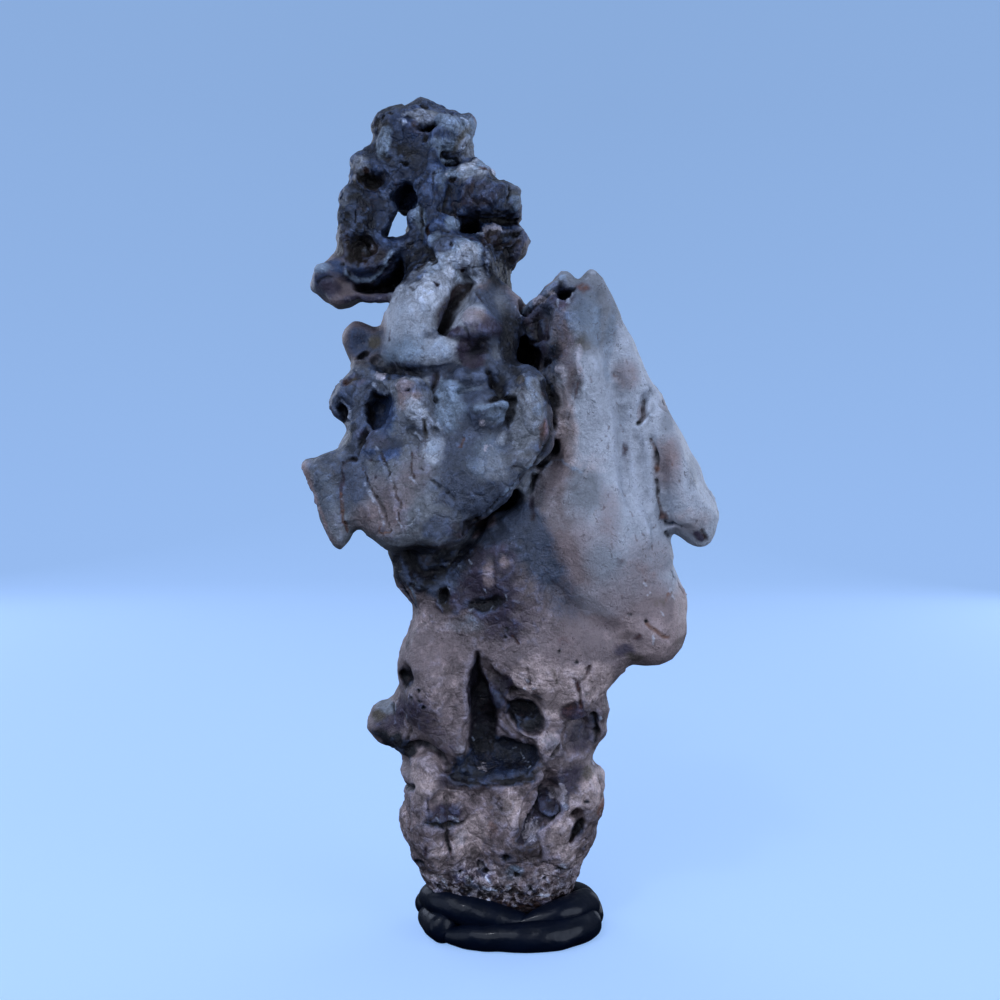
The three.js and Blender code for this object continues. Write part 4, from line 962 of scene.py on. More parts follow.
# Crevice between the slab and the wing, with the nub and the centre petal beside it.
groove(1.2, 2.0, [(7.5, 92.3), (6.9, 90.8), (5.7, 89.6), (4.6, 88.5)], ink=1)
groove(0.8, 2.2, [(5.3, 104.2), (6.2, 102), (6.8, 99.5), (7.1, 97.5), (7.4, 95.3), (7.3, 93)], ink=1)
groove(
    0.6, 1.2,
    [
        (4.7, 88.6), (3.5, 87.7), (2.3, 87.6), (1.2, 86.6), (0, 84.8), (-1.5, 83.2), (-3, 81.8), (-5, 80.2),
        (-6.8, 79),
    ],
    ink=0.9,
)
pit(-2.6, 78.4, 3.4, 2.4, -1.2)
pit(3, 84.4, 2.4, 2, -0.7)
cave([(-8.4, 79), (-6, 80), (-5.2, 79), (-6.4, 77), (-7.6, 76.2), (-8.2, 77.4)], 2.4, 0.7, ink=1)
groove(0.9, 1.2, [(3.9, 86.9), (3.6, 85.5), (3.0, 83.8)], ink=0.9)
# Above the nub, the pit's dark is painted shadow; the pale blue lip on the nub's top rim is a painted
# highlight.
pit(-2, 99.6, 2.2, 0.7, 1.6, 8, ink=0.8, olive=0.5)
groove(0.8, -0.7, [(-6, 97.8), (-4.3, 98), (-2, 98.8), (-0.8, 98.5)], cool=0.8)
groove(1.1, 1.8, [(-0.2, 99.5), (-0.2, 98.5), (-0.6, 96.5), (-1.1, 95.3)], ink=0.7)
groove(1.0, -0.7, [(2.5, 103), (3.5, 100), (4.2, 97)], cool=0.6)
groove(1.2, 1.8, [(-4, 104.6), (-3.2, 102.6), (-2, 100.4)], ink=0.9)
# Wing tips and their cave.
cave(
    [(7.6, 118.8), (8.3, 119.1), (10, 119.4), (11.2, 119.3), (10.4, 118), (8.6, 116.6), (7.8, 117.2)],
    2.6, 0.7, ink=1,
)
pit(6, 106.7, 1.1, 0.8, 1.6, ink=1)
facet([(3, 109.6), (3.2, 114.4), (6.4, 114.6), (6.6, 110)], ink=0.7, plum=0.9)
groove(1.9, 0.8, [(15.6, 118), (16.4, 113), (17.2, 107), (18.4, 101), (19.4, 95), (19.6, 88), (20, 82)])
groove(1.8, -0.4, [(14, 106), (16, 101), (17.2, 96), (17.4, 90)])
groove(1.6, 0.6, [(21.8, 93), (22.6, 87), (23.8, 81), (24.8, 77)])
groove(1.5, -0.5, [(20.6, 92), (21.4, 86), (22.4, 80), (23.8, 75)])
groove(1.6, -0.4, [(18.6, 112), (19.8, 107), (21, 102)])
groove(1.4, -0.4, [(24.8, 96), (25.8, 90), (26.6, 84)])
groove(1.6, 0.4, [(12, 116), (12.6, 110), (13, 105)])
pit(12, 76, 5, 4, -0.5)
pit(8, 84.6, 3, 2.4, -0.4)
# Dark face under the slab, and the dark band with the star-shaped patch.
facet([(-19, 75), (-13.4, 74.5), (-13.5, 73.2), (-14.8, 70.6), (-16.4, 73)], ink=0.5, slate=1)
cave(
    [
        (-20.5, 74), (-18.6, 74.6), (-17, 72.6), (-15.2, 70.2), (-12, 71), (-9.5, 73.6), (-8.4, 72),
        (-12, 68.4), (-18.6, 68),
    ],
    1.2, 1.5, ink=1,
)
pit(-12, 65.2, 1.4, 2.1, 1.2, ink=0.8, olive=0.9)
pit(-5, 64, 3.6, 1.5, 1.0, 10, ink=0.85)
# Trunk: the side knob, the big recess with its ridges, and the lumps round it.
pit(-19.4, 49.6, 1.3, 2.4, 1.4, ink=0.9)
cave(
    [
        (-8.2, 49.4), (-7.6, 52), (-6.8, 55.4), (-5.6, 55.4), (-5.4, 52), (-4.4, 49.6), (-3.2, 47.2),
        (-2.2, 44.4), (-2.2, 42.5), (-2.4, 40), (-2.4, 37), (-3, 34.4), (-7.6, 34.4), (-8.3, 38),
        (-7.9, 42),
    ],
    2.2, 1.0, ink=0.75, plum=0.9,
)
stain(-2.8, 46.4, 1.1, 3.4, -20, ink=0.6, plum=0.6)
stain(-6, 33, 4.6, 1.2, ink=0.75)
stain(2, 34, 3.6, 1.1, 15, ink=0.75)
cave(
    [
        (-2.2, 48), (-0.6, 46.4), (2.6, 46.4), (4, 46.2), (5.4, 44.8), (6.2, 43), (6.2, 41), (5.2, 39.9),
        (2.8, 39.8), (0.8, 40.6), (-0.6, 42), (-1.4, 44.6),
    ],
    2.2, 1.1, ink=0.85, plum=0.8,
)
cave(
    [
        (-7.3, 37.6), (-9, 35.5), (-11.9, 33.4), (-10.5, 31.6), (-8.4, 30.9), (-5, 31.2), (-3, 32.2),
        (0, 32.2), (3.6, 32.7), (5.2, 34.4), (6, 35.4), (5, 37.2), (3.6, 38.4), (1, 38.4), (-1.5, 39),
    ],
    1.7, 1.2, ink=0.7, steel=0.9,
)
groove(
    0.8, 0.7,
    [(-11.6, 33), (-9, 31.6), (-6, 31), (-3, 31.8), (0, 31.9), (3.6, 32.4), (5.6, 34.6)],
    ink=0.8,
)
# Painted shade: the recess made darker at its top.
stain(-5, 38, 2.4, 3, ink=0.85)
groove(1.2, -0.9, [(-4, 50.2), (-3, 48), (-2, 46), (-1, 44)], plum=0.7)
groove(1.1, -0.9, [(-1.9, 41.2), (0, 40), (2, 38.8), (3.4, 38)], warm=0.5, plum=0.6)
pit(6.6, 38.6, 1.9, 2.1, -0.9, warm=0.6)
facet([(9.4, 41), (12, 42.6), (14.6, 42.2), (15, 38), (11, 36.2), (8.4, 36.4)], (0.15, 0), ink=0.2)
groove(0.9, 1.4, [(15.1, 42.6), (15.4, 41), (15.6, 39), (15.9, 37.4)], ink=0.9, olive=0.6)
groove(
    1.0, 1.2,
    [(-18.4, 36.6), (-17, 37.2), (-15, 37), (-13.5, 36.2), (-12.5, 35.3), (-11.9, 34)],
    ink=0.8, plum=0.8,
)
pit(-15.3, 34, 2.6, 2.2, -0.8, warm=0.5)
stain(-20.6, 35.6, 2.4, 2.8, -40, ink=1)
stain(-24, 37.6, 3.4, 1.4, -25, ink=0.9)
# Lower trunk: ledged cavity, slot with a smooth face, hole and ribs.
cave(
    [
        (-15.8, 24.2), (-15.4, 26.6), (-13.5, 27.4), (-11, 26.8), (-9.4, 25), (-8.8, 23.2), (-10.5, 23),
        (-13, 23.5),
    ],
    1.4, 2.4, plum=0.7,
)
groove(0.7, 1.2, [(-15.6, 24.2), (-13, 23.6), (-10.5, 23.1), (-8.9, 23.2)], ragged=0.3, ink=1)
cave(
    [
        (5.1, 28.9), (6.6, 28.9), (8.2, 28.2), (8.9, 26.4), (8, 24.8), (6, 23), (4.6, 21.6), (2.2, 19.6),
        (1, 20), (1.4, 21.6), (2.8, 24), (4, 26.6),
    ],
    1.8, 0.9, plum=0.9, ink=0.4,
)
facet([(5, 28.6), (6.8, 28.6), (8.2, 27.4), (8.4, 25.8), (7, 24.6), (4.8, 25.6)], plum=0.9, ink=0.35)
cave(
    [
        (11, 22.2), (11.6, 23.8), (13, 24.4), (14, 23.6), (13.4, 22.2), (12, 20.8), (10.8, 19.4), (9.8, 19),
        (10, 20.4),
    ],
    1.8, 0.9, ink=0.8, rust=0.4,
)
pit(9.6, 22.6, 1.8, 2.6, -0.7, -30)
pit(-1, 17.3, 1.0, 0.9, 1.2, ink=1)
pit(-5.7, 15, 0.9, 1.0, 1.2, ink=0.95, rust=0.5)
pit(-17.2, 14.8, 1.4, 0.7, 1.4, 25, ink=1)
# Back: holes and lumps of the crown, flutes of the wing, gaps between the drapes, blocks of the trunk.
holes("back", 0.9, (
    (-14, 148, 1.9, 1.1, 2.0), (-21.5, 150.4, 1.2, 0.9, 1.0), (-11, 142.4, 2.1, 1.1, 2.2),
    (-28.2, 139.6, 1.3, 2.2, 1.4), (-6, 136.4, 2.3, 1.2, 1.8), (-1, 131.4, 1.2, 1.6, 1.2),
    (-13, 132.6, 1.5, 1.2, 1.6), (-29, 125.4, 2, 1, 1.0), (-4, 46, 1.4, 1.2, 1.4), (7, 37, 1.4, 0.9, 1.2),
    (-10, 24, 1.8, 0.8, 1.4), (-16.5, 97, 1.1, 1.6, 1.3), (-5.6, 91, 0.9, 1.4, 1.2),
))
lumps("back", (
    (-18, 144.4, 2.4, 1.8, 0.8, "steel"), (-8.4, 139.6, 2.6, 1.3, 0.7, "ash"),
    (-3, 134, 1.8, 1.3, 0.6, "steel"), (-33, 122.6, 1.8, 1.2, 0.5, "cool"), (-15, 113, 3.4, 3, 0.6, "bone"),
    (-7, 114.6, 2.6, 2.8, 0.6, "ash"), (-16, 86, 2.4, 3.4, 0.7, "ash"), (3.6, 93, 2.6, 4.6, 0.6, "ash"),
    (-10, 38, 2.8, 3, 0.7, "blush"), (2, 16, 3.2, 2.8, 0.6, "blush"), (-12, 16, 2.2, 2.6, 0.6, "blush"),
    (10, 22.4, 2, 3, 0.6, "blush"), (4, 42, 3, 2.4, 0.6, "blush"),
))
groove(1.6, 0.8, [(13, 116), (14, 108), (15.6, 100), (17, 92), (18, 84)], side="back")
groove(1.6, -0.5, [(16, 113), (17.8, 105), (19.8, 97), (21, 89)], side="back")
groove(1.3, 0.8, [(9, 106), (9.8, 98), (10.4, 90)], side="back", slate=0.4)
for drape in (
    [(11.4, 73), (10.6, 65), (11.2, 57)], [(2, 70), (1.4, 61), (2.4, 53), (1.6, 45)],
    [(-5.4, 73), (-5.8, 65), (-4.6, 58)], [(-8.8, 106), (-8, 99), (-9, 92), (-8.4, 84)],
    [(-14, 104), (-13.4, 97), (-14.4, 90)],
):
    groove(0.9, 1.2, drape, side="back", ink=0.7, plum=0.6)
groove(1.0, 1.3, [(-7, 30), (-3, 28.4), (2, 28.8), (7, 30)], side="back", ink=0.85, plum=0.8)
groove(0.8, 1.1, [(-12.4, 121), (-10.8, 117.6), (-10, 114), (-11, 111.4)], side="back", umber=0.8, ink=0.5)
# Left: the crown's arm, the ear, the slab's end, the trunk with its knob.
holes("left", 0.85, (
    (0.5, 149, 1.8, 1.0, 1.4), (-3, 136, 1.3, 1.8, 1.4), (4, 129.6, 1.4, 1.0, 1.0),
    (5, 98.5, 1.2, 1.6, 1.4), (12, 80, 1.4, 2, 1.6), (-2.5, 101.5, 1.0, 0.8, 1.0),
    (-7.8, 50.4, 1.1, 1.9, 1.4), (2, 35.6, 1.6, 0.8, 1.2),
))
lumps("left", (
    (3.4, 142, 2, 2.4, 0.6, "ash"), (-3.6, 130.6, 2, 2, 0.6, "steel"), (0, 121.4, 3.4, 1.4, 0.6, "cool"),
    (7.6, 92, 2.4, 3, 0.6, "cool"), (3.4, 56, 2.6, 3.4, 0.7, "blush"), (6, 46, 2.4, 3, 0.6, "blush"),
    (-4, 23.4, 2.8, 3.2, 0.7, "blush"), (4.4, 17, 2.8, 3, 0.6, "blush"),
))
groove(0.9, 1.1, [(-8, 30), (-3, 28.6), (2, 28.4), (7, 30.4)], side="left", ink=0.8, plum=0.8)
groove(0.8, 1.0, [(-1.4, 104), (-2, 98), (-1.4, 92.6)], side="left", ink=0.8)
# Right: ledges of the crown, the wing's edge with its flutes, the belly, the trunk.
holes("right", 0.85, (
    (0, 148.4, 1.8, 1.0, 1.4), (-5.4, 144.4, 1.3, 0.8, 1.2), (4.6, 139.4, 1.4, 1.0, 1.2),
    (-3, 127.6, 1.3, 1.2, 1.4), (3.4, 124.6, 1.1, 1.5, 1.2), (-9.8, 99.6, 0.8, 0.6, 0.9),
    (13, 88, 1.2, 2, 1.4), (12.4, 70, 1.1, 1.8, 1.4), (-2.6, 37.8, 1.5, 1.0, 1.4),
))
lumps("right", (
    (2.6, 144, 2.4, 1.4, 0.6, "cool"), (-3.6, 138.4, 2.2, 1.6, 0.7, "ash"),
    (2, 131, 2.6, 1.6, 0.6, "steel"), (-8, 108, 2.4, 5, 0.4, "bone"), (-9, 88, 3, 4, 0.5, "bone"),
    (14, 94, 2.4, 3, 0.6, "ash"), (-6.6, 64, 3, 3.6, 0.5, "blush"), (3.6, 42.4, 2.8, 2.4, 0.7, "blush"),
    (0, 30, 3, 2.6, 0.6, "blush"), (6.4, 20, 2.4, 3, 0.6, "blush"),
))
groove(1.5, 0.8, [(-4.6, 119), (-5.4, 110), (-5.6, 101), (-5, 92), (-4.4, 84)], side="right")
groove(1.3, 0.6, [(-11.4, 114), (-12.2, 106), (-12, 98)], side="right")
groove(1.2, -0.4, [(-1.6, 112), (-2, 104), (-2.4, 96)], side="right")
groove(1.0, 1.0, [(-8, 134), (-3, 133.4), (2, 134), (7, 133.2)], side="right", ink=0.8)
skin.finish_layer(2)

# ---- second layer: edges, cracks, small pits and crystals ----------------------------------

# Crown.
pit(-15.6, 146.7, 0.6, 0.6, 0.8, ink=0.9)
pit(-15.7, 152.8, 0.9, 0.5, 0.9, ink=0.8)
groove(0.5, 0.4, [(-17.5, 151.5), (-16.4, 152.3), (-15.7, 152.8)], ink=0.7)
pit(-22.8, 150.6, 0.6, 0.5, 0.8, ink=1)
pit(-21.6, 151, 0.5, 0.5, 0.6, ink=1)
# Painted highlights: glints on the crown's crystals.
groove(0.5, -0.4, [(-19.6, 150.5), (-18.8, 150.9), (-18, 151)], white=1)
groove(0.45, -0.35, [(-20.2, 149.6), (-19.6, 149.9), (-19, 149.5), (-19.4, 149)], white=0.8)
stain(-23, 146, 1.3, 2.4, cool=1)
groove(0.5, -0.4, [(-9.3, 151.2), (-8.5, 151), (-7.9, 150.5)], white=0.9)
groove(0.8, 0.4, [(-7.8, 149.5), (-9, 147.3), (-10.5, 144.5)], olive=0.9)
stain(-14, 146, 1.8, 1.3, cool=0.35)
groove(0.6, -0.4, [(-7.6, 142.6), (-7, 142.9), (-6.4, 143)], white=0.7)
stain(-7.5, 141, 3, 1.1, bone=0.4, olive=0.3)
pit(-4.9, 141.9, 0.5, 0.5, 0.6, rust=0.9)
stain(-11, 141.2, 1.2, 1, cool=0.7, druse=0.3)
pit(-10.8, 139.9, 0.8, 0.7, 1.0, ink=1)
groove(0.9, 0.6, [(-11.2, 138.4), (-11.6, 136.8), (-12, 135)], ink=0.9)
groove(0.5, 1.0, [(-0.5, 138.6), (-0.4, 137.6), (-0.6, 136.4)], ink=1)
pit(-3.5, 131.8, 1.9, 0.8, -0.4, druse=0.9)
groove(0.45, -0.4, [(-2.5, 131.2), (-0.4, 131.6), (1.9, 132.4)], white=0.7)
groove(0.45, -0.4, [(-2, 128.6), (0, 129.6), (1.9, 130.8)], white=0.6)
pit(-26.4, 141.4, 0.6, 0.6, 0.7, rust=0.9, ink=0.4)
groove(0.5, -0.3, [(-28.4, 142), (-28, 141), (-28.3, 139.6)], olive=0.9)
groove(0.7, -0.4, [(-29.8, 138), (-29.5, 136.5), (-29.9, 134.8)], ash=0.6)
pit(-22.8, 137, 0.7, 0.7, -0.3, slate=0.6)
groove(0.45, 0.6, [(-16.4, 135.2), (-16.2, 133), (-16.4, 130.8), (-16.2, 128.2)], ink=0.8)
groove(0.45, 0.4, [(-13.9, 140.6), (-14.2, 138), (-13.8, 135.5)], ink=0.7)
groove(0.5, 0.9, [(-27.9, 133.5), (-27.9, 131.7)], ink=1)
groove(0.5, 0.5, [(-31.2, 130), (-30, 130.2)], ink=0.8)
pit(-27.1, 127.3, 0.8, 1.4, -0.8, white=0.5, warm=0.5)
pit(-25.4, 127.6, 0.9, 0.6, -0.7, 30, white=0.5, warm=0.5)
groove(0.5, 0.5, [(-27.3, 125.6), (-27.6, 124)], ink=0.9)
groove(
    0.7, -0.6,
    [(-29.7, 122.8), (-28, 121.9), (-26, 122.3), (-24.3, 123.4), (-22.6, 125), (-21.4, 126.6)],
    cool=0.8,
)
groove(0.8, -0.4, [(-30, 118.6), (-27, 118.4), (-24, 118.7), (-21, 118.6)], plum=0.8, druse=0.3)
groove(0.4, 0.4, [(-34.8, 121.2), (-33.6, 121.7), (-32, 121.9)], ink=0.9)
groove(0.4, -0.3, [(-34.7, 124.3), (-33.9, 123.6), (-33, 122.8)], white=0.5)
pit(-30.3, 124.2, 0.5, 0.5, 0.6, ink=0.9)
pit(-29.3, 122.9, 0.5, 0.4, 0.5, ink=0.9)
stain(-18.8, 128.3, 0.9, 1.1, ink=0.8)
groove(0.35, -0.3, [(-19.2, 127.3), (-18.8, 127)], white=0.8)
# Neck.
groove(0.5, -0.4, [(-10.8, 133.2), (-10.6, 132), (-10.2, 130.8)], white=0.7)
groove(0.5, 0.9, [(-12.1, 129.9), (-11.3, 129.7)], ink=0.9)
groove(0.8, 0.9, [(-15.1, 130), (-15.2, 127.5), (-14.2, 125), (-13.5, 123.8)], ink=0.9)
pit(-10.5, 126.9, 0.5, 0.5, 0.7, ink=0.8)
groove(
    0.7, -0.5,
    [
        (-9.9, 131), (-8, 130.6), (-5.5, 130.8), (-5, 129.8), (-4.7, 128), (-4.5, 126), (-4.3, 122.5),
        (-4, 121.5),
    ],
    white=0.55,
)
groove(0.6, 0.3, [(-7.5, 129.8), (-6.8, 129), (-6, 128.3)], plum=0.9, ink=0.4)
pit(-8.8, 123, 0.55, 0.55, 0.7, rust=0.9, ink=0.4)
# Painted highlight along the neck's diagonal ridge.
groove(0.7, -0.5, [(-8.3, 125.3), (-7.2, 122.3), (-6.2, 120.8)], white=0.6)
# Head.
groove(0.6, -0.35, [(-17.2, 123.2), (-14, 124.2), (-13.2, 122.6)], white=0.4)
pit(-13, 119.2, 0.5, 0.5, 0.7, plum=0.9, ink=0.3)
groove(0.35, 0.3, [(-13.5, 119.9), (-12.8, 119)], plum=0.9)
groove(0.4, 0.2, [(-17.8, 118.9), (-17.2, 118.7)], plum=0.8)
groove(0.5, 0.6, [(-6.3, 118.5), (-5.5, 117), (-4, 115.5), (-2.8, 113.6), (-2, 112.5)], rust=0.6, ink=0.6)
groove(0.45, -0.3, [(0.6, 116.2), (1, 115.5), (1.3, 114.8)], white=0.6)
groove(0.45, 0.5, [(-21.3, 111.6), (-21.6, 110.8)], rust=0.8)
groove(0.4, -0.3, [(-20.8, 111.8), (-21, 110.9)], white=0.8)
pit(-21.5, 110.3, 0.35, 0.35, 0.3, plum=0.9)
groove(0.6, 0.5, [(-8.2, 112), (-7.5, 110.5), (-7.6, 109)], ink=0.5)
# Notch.
stain(4.2, 107.5, 1.4, 2.4, -20, druse=0.4, plum=0.9)
groove(0.4, -0.4, [(7.8, 116.8), (7.8, 115.6)], white=1)
stain(4, 113.8, 2.2, 1.8, plum=0.9, ink=0.6)
# Side knob, ear and square cave.
stain(-24.6, 110.4, 1.6, 1, olive=0.9)
groove(0.4, -0.3, [(-25.9, 111.2), (-25.2, 110.8)], white=0.8)
groove(0.5, -0.4, [(-27.6, 106.9), (-26.8, 106.9), (-26, 107.5)], white=0.6)
# Painted highlight on the ear pit's rim.
groove(0.6, -0.5, [(-29.9, 99.9), (-28.6, 98.7), (-28.2, 97.4)], white=0.7)
groove(0.5, -0.5, [(-28.2, 97.5), (-28, 96), (-27.6, 94.5)], white=0.8)
groove(0.4, 0.5, [(-27.8, 105.3), (-27.3, 104.3)], ink=0.9)
groove(0.4, 0.4, [(-29.5, 102.9), (-28, 103.3), (-26.8, 103.6)], olive=0.9)
pit(-23, 103.8, 0.9, 0.7, -0.3, druse=0.9)
groove(0.6, -0.5, [(-24.2, 102.4), (-23, 101.6), (-21.5, 101.1), (-20, 100.9)], white=0.8)
pit(-17.6, 101, 0.6, 0.6, 0.8, plum=0.9, ink=0.5)
groove(0.7, 1.2, [(-13.2, 104), (-13.4, 101.6), (-13.2, 99.5)], ink=0.8)
painted_glints(0.4, 0.35, 1, (
    [(-17.5, 98), (-16.4, 97.6), (-15.5, 97)], [(-16.5, 98.4), (-15.6, 97.6)],
    [(-14.5, 96.8), (-13.8, 96), (-13.2, 95)], [(-16.5, 93.9), (-15.2, 92.7)],
    [(-12.9, 95.4), (-12.2, 94.5)],
), ragged=0.25)
groove(0.8, 0.8, [(-25.2, 94), (-26, 92), (-26.3, 90.6)], ink=0.8)
# Slab, left: cracks with pale lips painted as highlights on their rims.
pit(-27, 89.5, 0.9, 0.5, 0.9, ink=0.8, rust=0.5)
groove(
    0.4, 0.6,
    [(-27.8, 89.5), (-28.8, 88.8), (-29, 87.5), (-28.9, 86), (-29.2, 83.6)],
    ragged=0.3, plum=0.9,
)
groove(
    0.4, 0.6,
    [(-29.2, 83.6), (-29.1, 82), (-29, 80.5), (-28.8, 79.5), (-28.3, 78.3), (-28.2, 77.2)],
    ragged=0.3, rust=1,
)
groove(
    0.32, 0.55,
    [
        (-25.6, 88), (-24.7, 86.6), (-24.3, 85.5), (-23.7, 84.3), (-22.8, 83), (-21.9, 81.5), (-21.4, 80.4),
        (-21, 79), (-20.3, 77.4),
    ],
    ragged=0.3, ink=0.7, rust=0.6,
)
groove(
    0.5, -0.4,
    [(-24.9, 85.2), (-23.7, 83), (-22.7, 81.6), (-22, 79.9), (-21.6, 78.5)],
    ragged=0.3, white=0.75,
)
groove(0.45, -0.35, [(-23.3, 91.8), (-22.8, 91)], white=0.9)
groove(
    0.34, 0.55,
    [(-22.3, 90.6), (-21.8, 89.3), (-20.9, 88.2), (-20.6, 87.4), (-20.8, 86.6)],
    ragged=0.3, ink=0.8, rust=0.5,
)
groove(
    0.34, 0.5,
    [(-20, 85.6), (-19.6, 84), (-19.3, 83), (-18.8, 82.2), (-18.9, 81), (-19, 79.8), (-18.9, 78.4)],
    ragged=0.3, ink=0.6, rust=0.6,
)
groove(0.4, -0.3, [(-20.6, 86.4), (-20.3, 85.6)], white=0.9)
groove(0.4, -0.3, [(-19.2, 79.4), (-18.6, 78)], white=0.9)
groove(
    0.34, 0.5,
    [(-17, 90.6), (-16.9, 89), (-17.1, 88), (-16.9, 87), (-16.5, 86.2)],
    ragged=0.3, ink=0.6, rust=0.7,
)
groove(0.4, -0.35, [(-17.2, 86.4), (-16.6, 86), (-16.1, 85.4)], white=0.9)
groove(0.3, 0.25, [(-22.5, 78), (-22.5, 77), (-20.8, 77)], ragged=0.2, rust=0.8)
pit(-24, 89.2, 0.4, 0.4, 0.3, plum=0.9)
pit(-23, 86.3, 0.4, 0.4, 0.3, plum=0.9)
stain(-26.7, 83.6, 0.9, 1.2, slate=0.9)
stain(-24, 93, 4, 1.6, slate=0.9, plum=0.4)
groove(0.7, -0.5, [(-36.2, 88), (-34.5, 84.6), (-32.6, 80), (-30.8, 75.6)], warm=0.8)
# Slab, right.
groove(0.6, 0.8, [(-15, 96), (-14.8, 94.5), (-14.9, 93)], olive=0.9, ink=0.4)
groove(0.4, 0.3, [(-15.6, 88), (-15.2, 87.5)], plum=0.9)
groove(0.5, 0.5, [(-13.3, 86), (-12.3, 84.8)], ink=0.6)
groove(0.5, 0.5, [(-10.9, 83.8), (-9.9, 82.7)], ink=0.6)
groove(0.5, 0.5, [(-8.3, 92.8), (-8.8, 91.4)], rust=0.8, ink=0.3)
groove(0.4, -0.3, [(-5.6, 97.4), (-4.8, 97.2)], white=0.7)
groove(0.4, -0.3, [(-2.5, 98.3), (-1.6, 98.5)], white=0.7)
pit(-5.2, 95.4, 0.7, 0.7, -0.4, druse=0.9)
pit(-1.9, 93.2, 0.9, 1.5, -0.4, -25, white=1)
groove(0.6, -0.4, [(0.2, 92.3), (0.9, 91.6), (1.5, 90.8)], white=0.9)
stain(-4, 91.3, 1.4, 0.5, druse=0.9)
groove(
    0.5, -0.4,
    [(2.8, 88.6), (1.2, 87), (-0.1, 85.1), (-1.5, 83.9), (-3, 82.1), (-4, 80.6)],
    ragged=0.2, cool=0.8, white=0.2,
)
stain(-5, 83, 3.4, 3, slate=0.6)
stain(-8.6, 77.6, 2.6, 1.6, ink=0.6, plum=0.6)
stain(-16, 67.8, 4.4, 1.6, ink=0.7)
# Centre petal and the crevice's right bank.
groove(0.4, 0.4, [(1.4, 100), (2.4, 98)], plum=0.5)
groove(0.4, 0.4, [(3, 101.5), (4.5, 99)], plum=0.5)
groove(0.5, 0.5, [(5.3, 95.8), (5.1, 93.5), (4.6, 91.5)], rust=0.7)
stain(5.5, 94, 0.7, 2, rust=0.8)
stain(1.3, 102.8, 0.8, 0.7, olive=0.9)
groove(0.4, -0.3, [(1.8, 103.8), (1.9, 103.2)], white=0.8)
groove(0.5, -0.5, [(5.9, 88.2), (7.5, 89.5), (8.8, 89.4), (9.6, 88.4), (10.4, 87.7), (12, 87.2)], cool=0.6)
groove(0.4, -0.35, [(5.2, 87), (5.5, 87.6), (5.8, 88.1)], white=1)
pit(3.9, 87.1, 0.35, 0.35, -0.3, white=1)
# Wing, left rib.
groove(
    0.4, 0.4,
    [(11.8, 105), (11.5, 103), (10.9, 101.4), (10.7, 99.8), (10.1, 98.2), (9.6, 96.5)],
    ragged=0.6, rust=0.5, plum=0.5,
)
pit(12.2, 101.8, 0.5, 0.5, -0.35, white=0.9)
pit(11.5, 100.8, 0.5, 0.5, -0.35, white=0.9)
pit(11, 97.5, 0.4, 0.6, -0.3, white=0.9)
groove(0.8, -0.4, [(11.5, 108.6), (11.4, 106), (11.8, 103.6)], white=0.5, druse=0.7)
pit(8.2, 105.2, 0.8, 0.8, -0.4, druse=1, white=0.6)
pit(8.8, 104, 0.6, 0.6, -0.4, druse=1, white=0.6)
stain(10, 94, 1.4, 2.4, olive=0.3, rust=0.2)
stain(12, 109.5, 1.3, 1.6, olive=0.6)
groove(0.4, 0.2, [(8.4, 93), (8.4, 92)], rust=0.9)
groove(0.8, -0.5, [(2.2, 116), (4.8, 118), (7.5, 120.2)], ragged=0.3, cool=0.7, plum=0.4)
groove(0.6, 0.8, [(3, 115.6), (5, 117.3), (7.2, 119)], ink=0.9)
stain(5, 117.4, 1, 0.7, druse=0.8)
stain(7, 118.4, 0.8, 0.6, druse=0.8)
stain(12.2, 119.6, 1.4, 0.8, rust=0.7, plum=0.8)
groove(0.6, -0.5, [(10.5, 118.1), (10.2, 117.3), (9.6, 116.5)], white=1)
pit(13.9, 122.2, 0.9, 0.7, -0.4, white=0.7)
pit(9, 121.4, 0.9, 0.6, -0.3, cool=0.6)
groove(0.4, -0.3, [(12.4, 121.2), (12.9, 120.7), (13.4, 121)], white=0.9)
groove(1.0, -0.4, [(14.5, 115), (14.2, 112), (14.8, 108), (15.8, 105), (17.3, 102.5)], cool=0.3, white=0.2)
# Wing, right: crescent pit, the long rusty crack and the barb's bottom.
pit(22.4, 95.8, 0.7, 0.5, 0.9, 20, olive=0.8, ink=0.6)
groove(0.5, 0.7, [(22.8, 96.2), (23.2, 97.2), (23.1, 98.4), (23.2, 99.8)], ragged=0.3, rust=0.7, ink=0.4)
# Painted highlight on the crescent pit's lower rim.
groove(0.6, -0.6, [(24.3, 97.1), (23.6, 96.2), (22.8, 95.3), (21.3, 95)], ragged=0.2, white=1)
groove(0.6, -0.5, [(23.9, 102.4), (23.4, 101.4)], white=1)
groove(0.6, -0.5, [(24.2, 100.5), (24, 99.3), (23.9, 97.9)], white=1)
stain(22.8, 98, 0.8, 2.4, rust=0.5)
groove(0.5, 0.6, [(24.2, 92.8), (24.6, 91.9), (25, 91)], ragged=0.3, rust=0.8)
groove(0.5, 0.9, [(25, 91), (25.2, 90.4), (25.4, 89.4), (25.4, 88.6)], ragged=0.3, ink=0.9)
stain(25.4, 88, 0.55, 0.8, rust=1)
groove(0.45, 0.5, [(25.4, 88.6), (25.3, 87.2)], rust=0.9, ink=0.3)
groove(0.5, -0.3, [(25.8, 86.8), (26.2, 86.4)], white=0.8)
groove(0.45, 0.7, [(25.3, 85.8), (25.5, 84.6), (25.6, 83.2)], ragged=0.3, ink=0.7, rust=0.5)
groove(0.4, 0.5, [(25.6, 83.2), (25.9, 81.8), (26.2, 80.6), (26.4, 79.6)], ragged=0.3, rust=0.8, ink=0.3)
stain(26.7, 79.2, 1.1, 0.8, -30, rust=0.7, plum=0.6)
pit(27.2, 78.4, 0.4, 0.4, 0.5, ink=0.8)
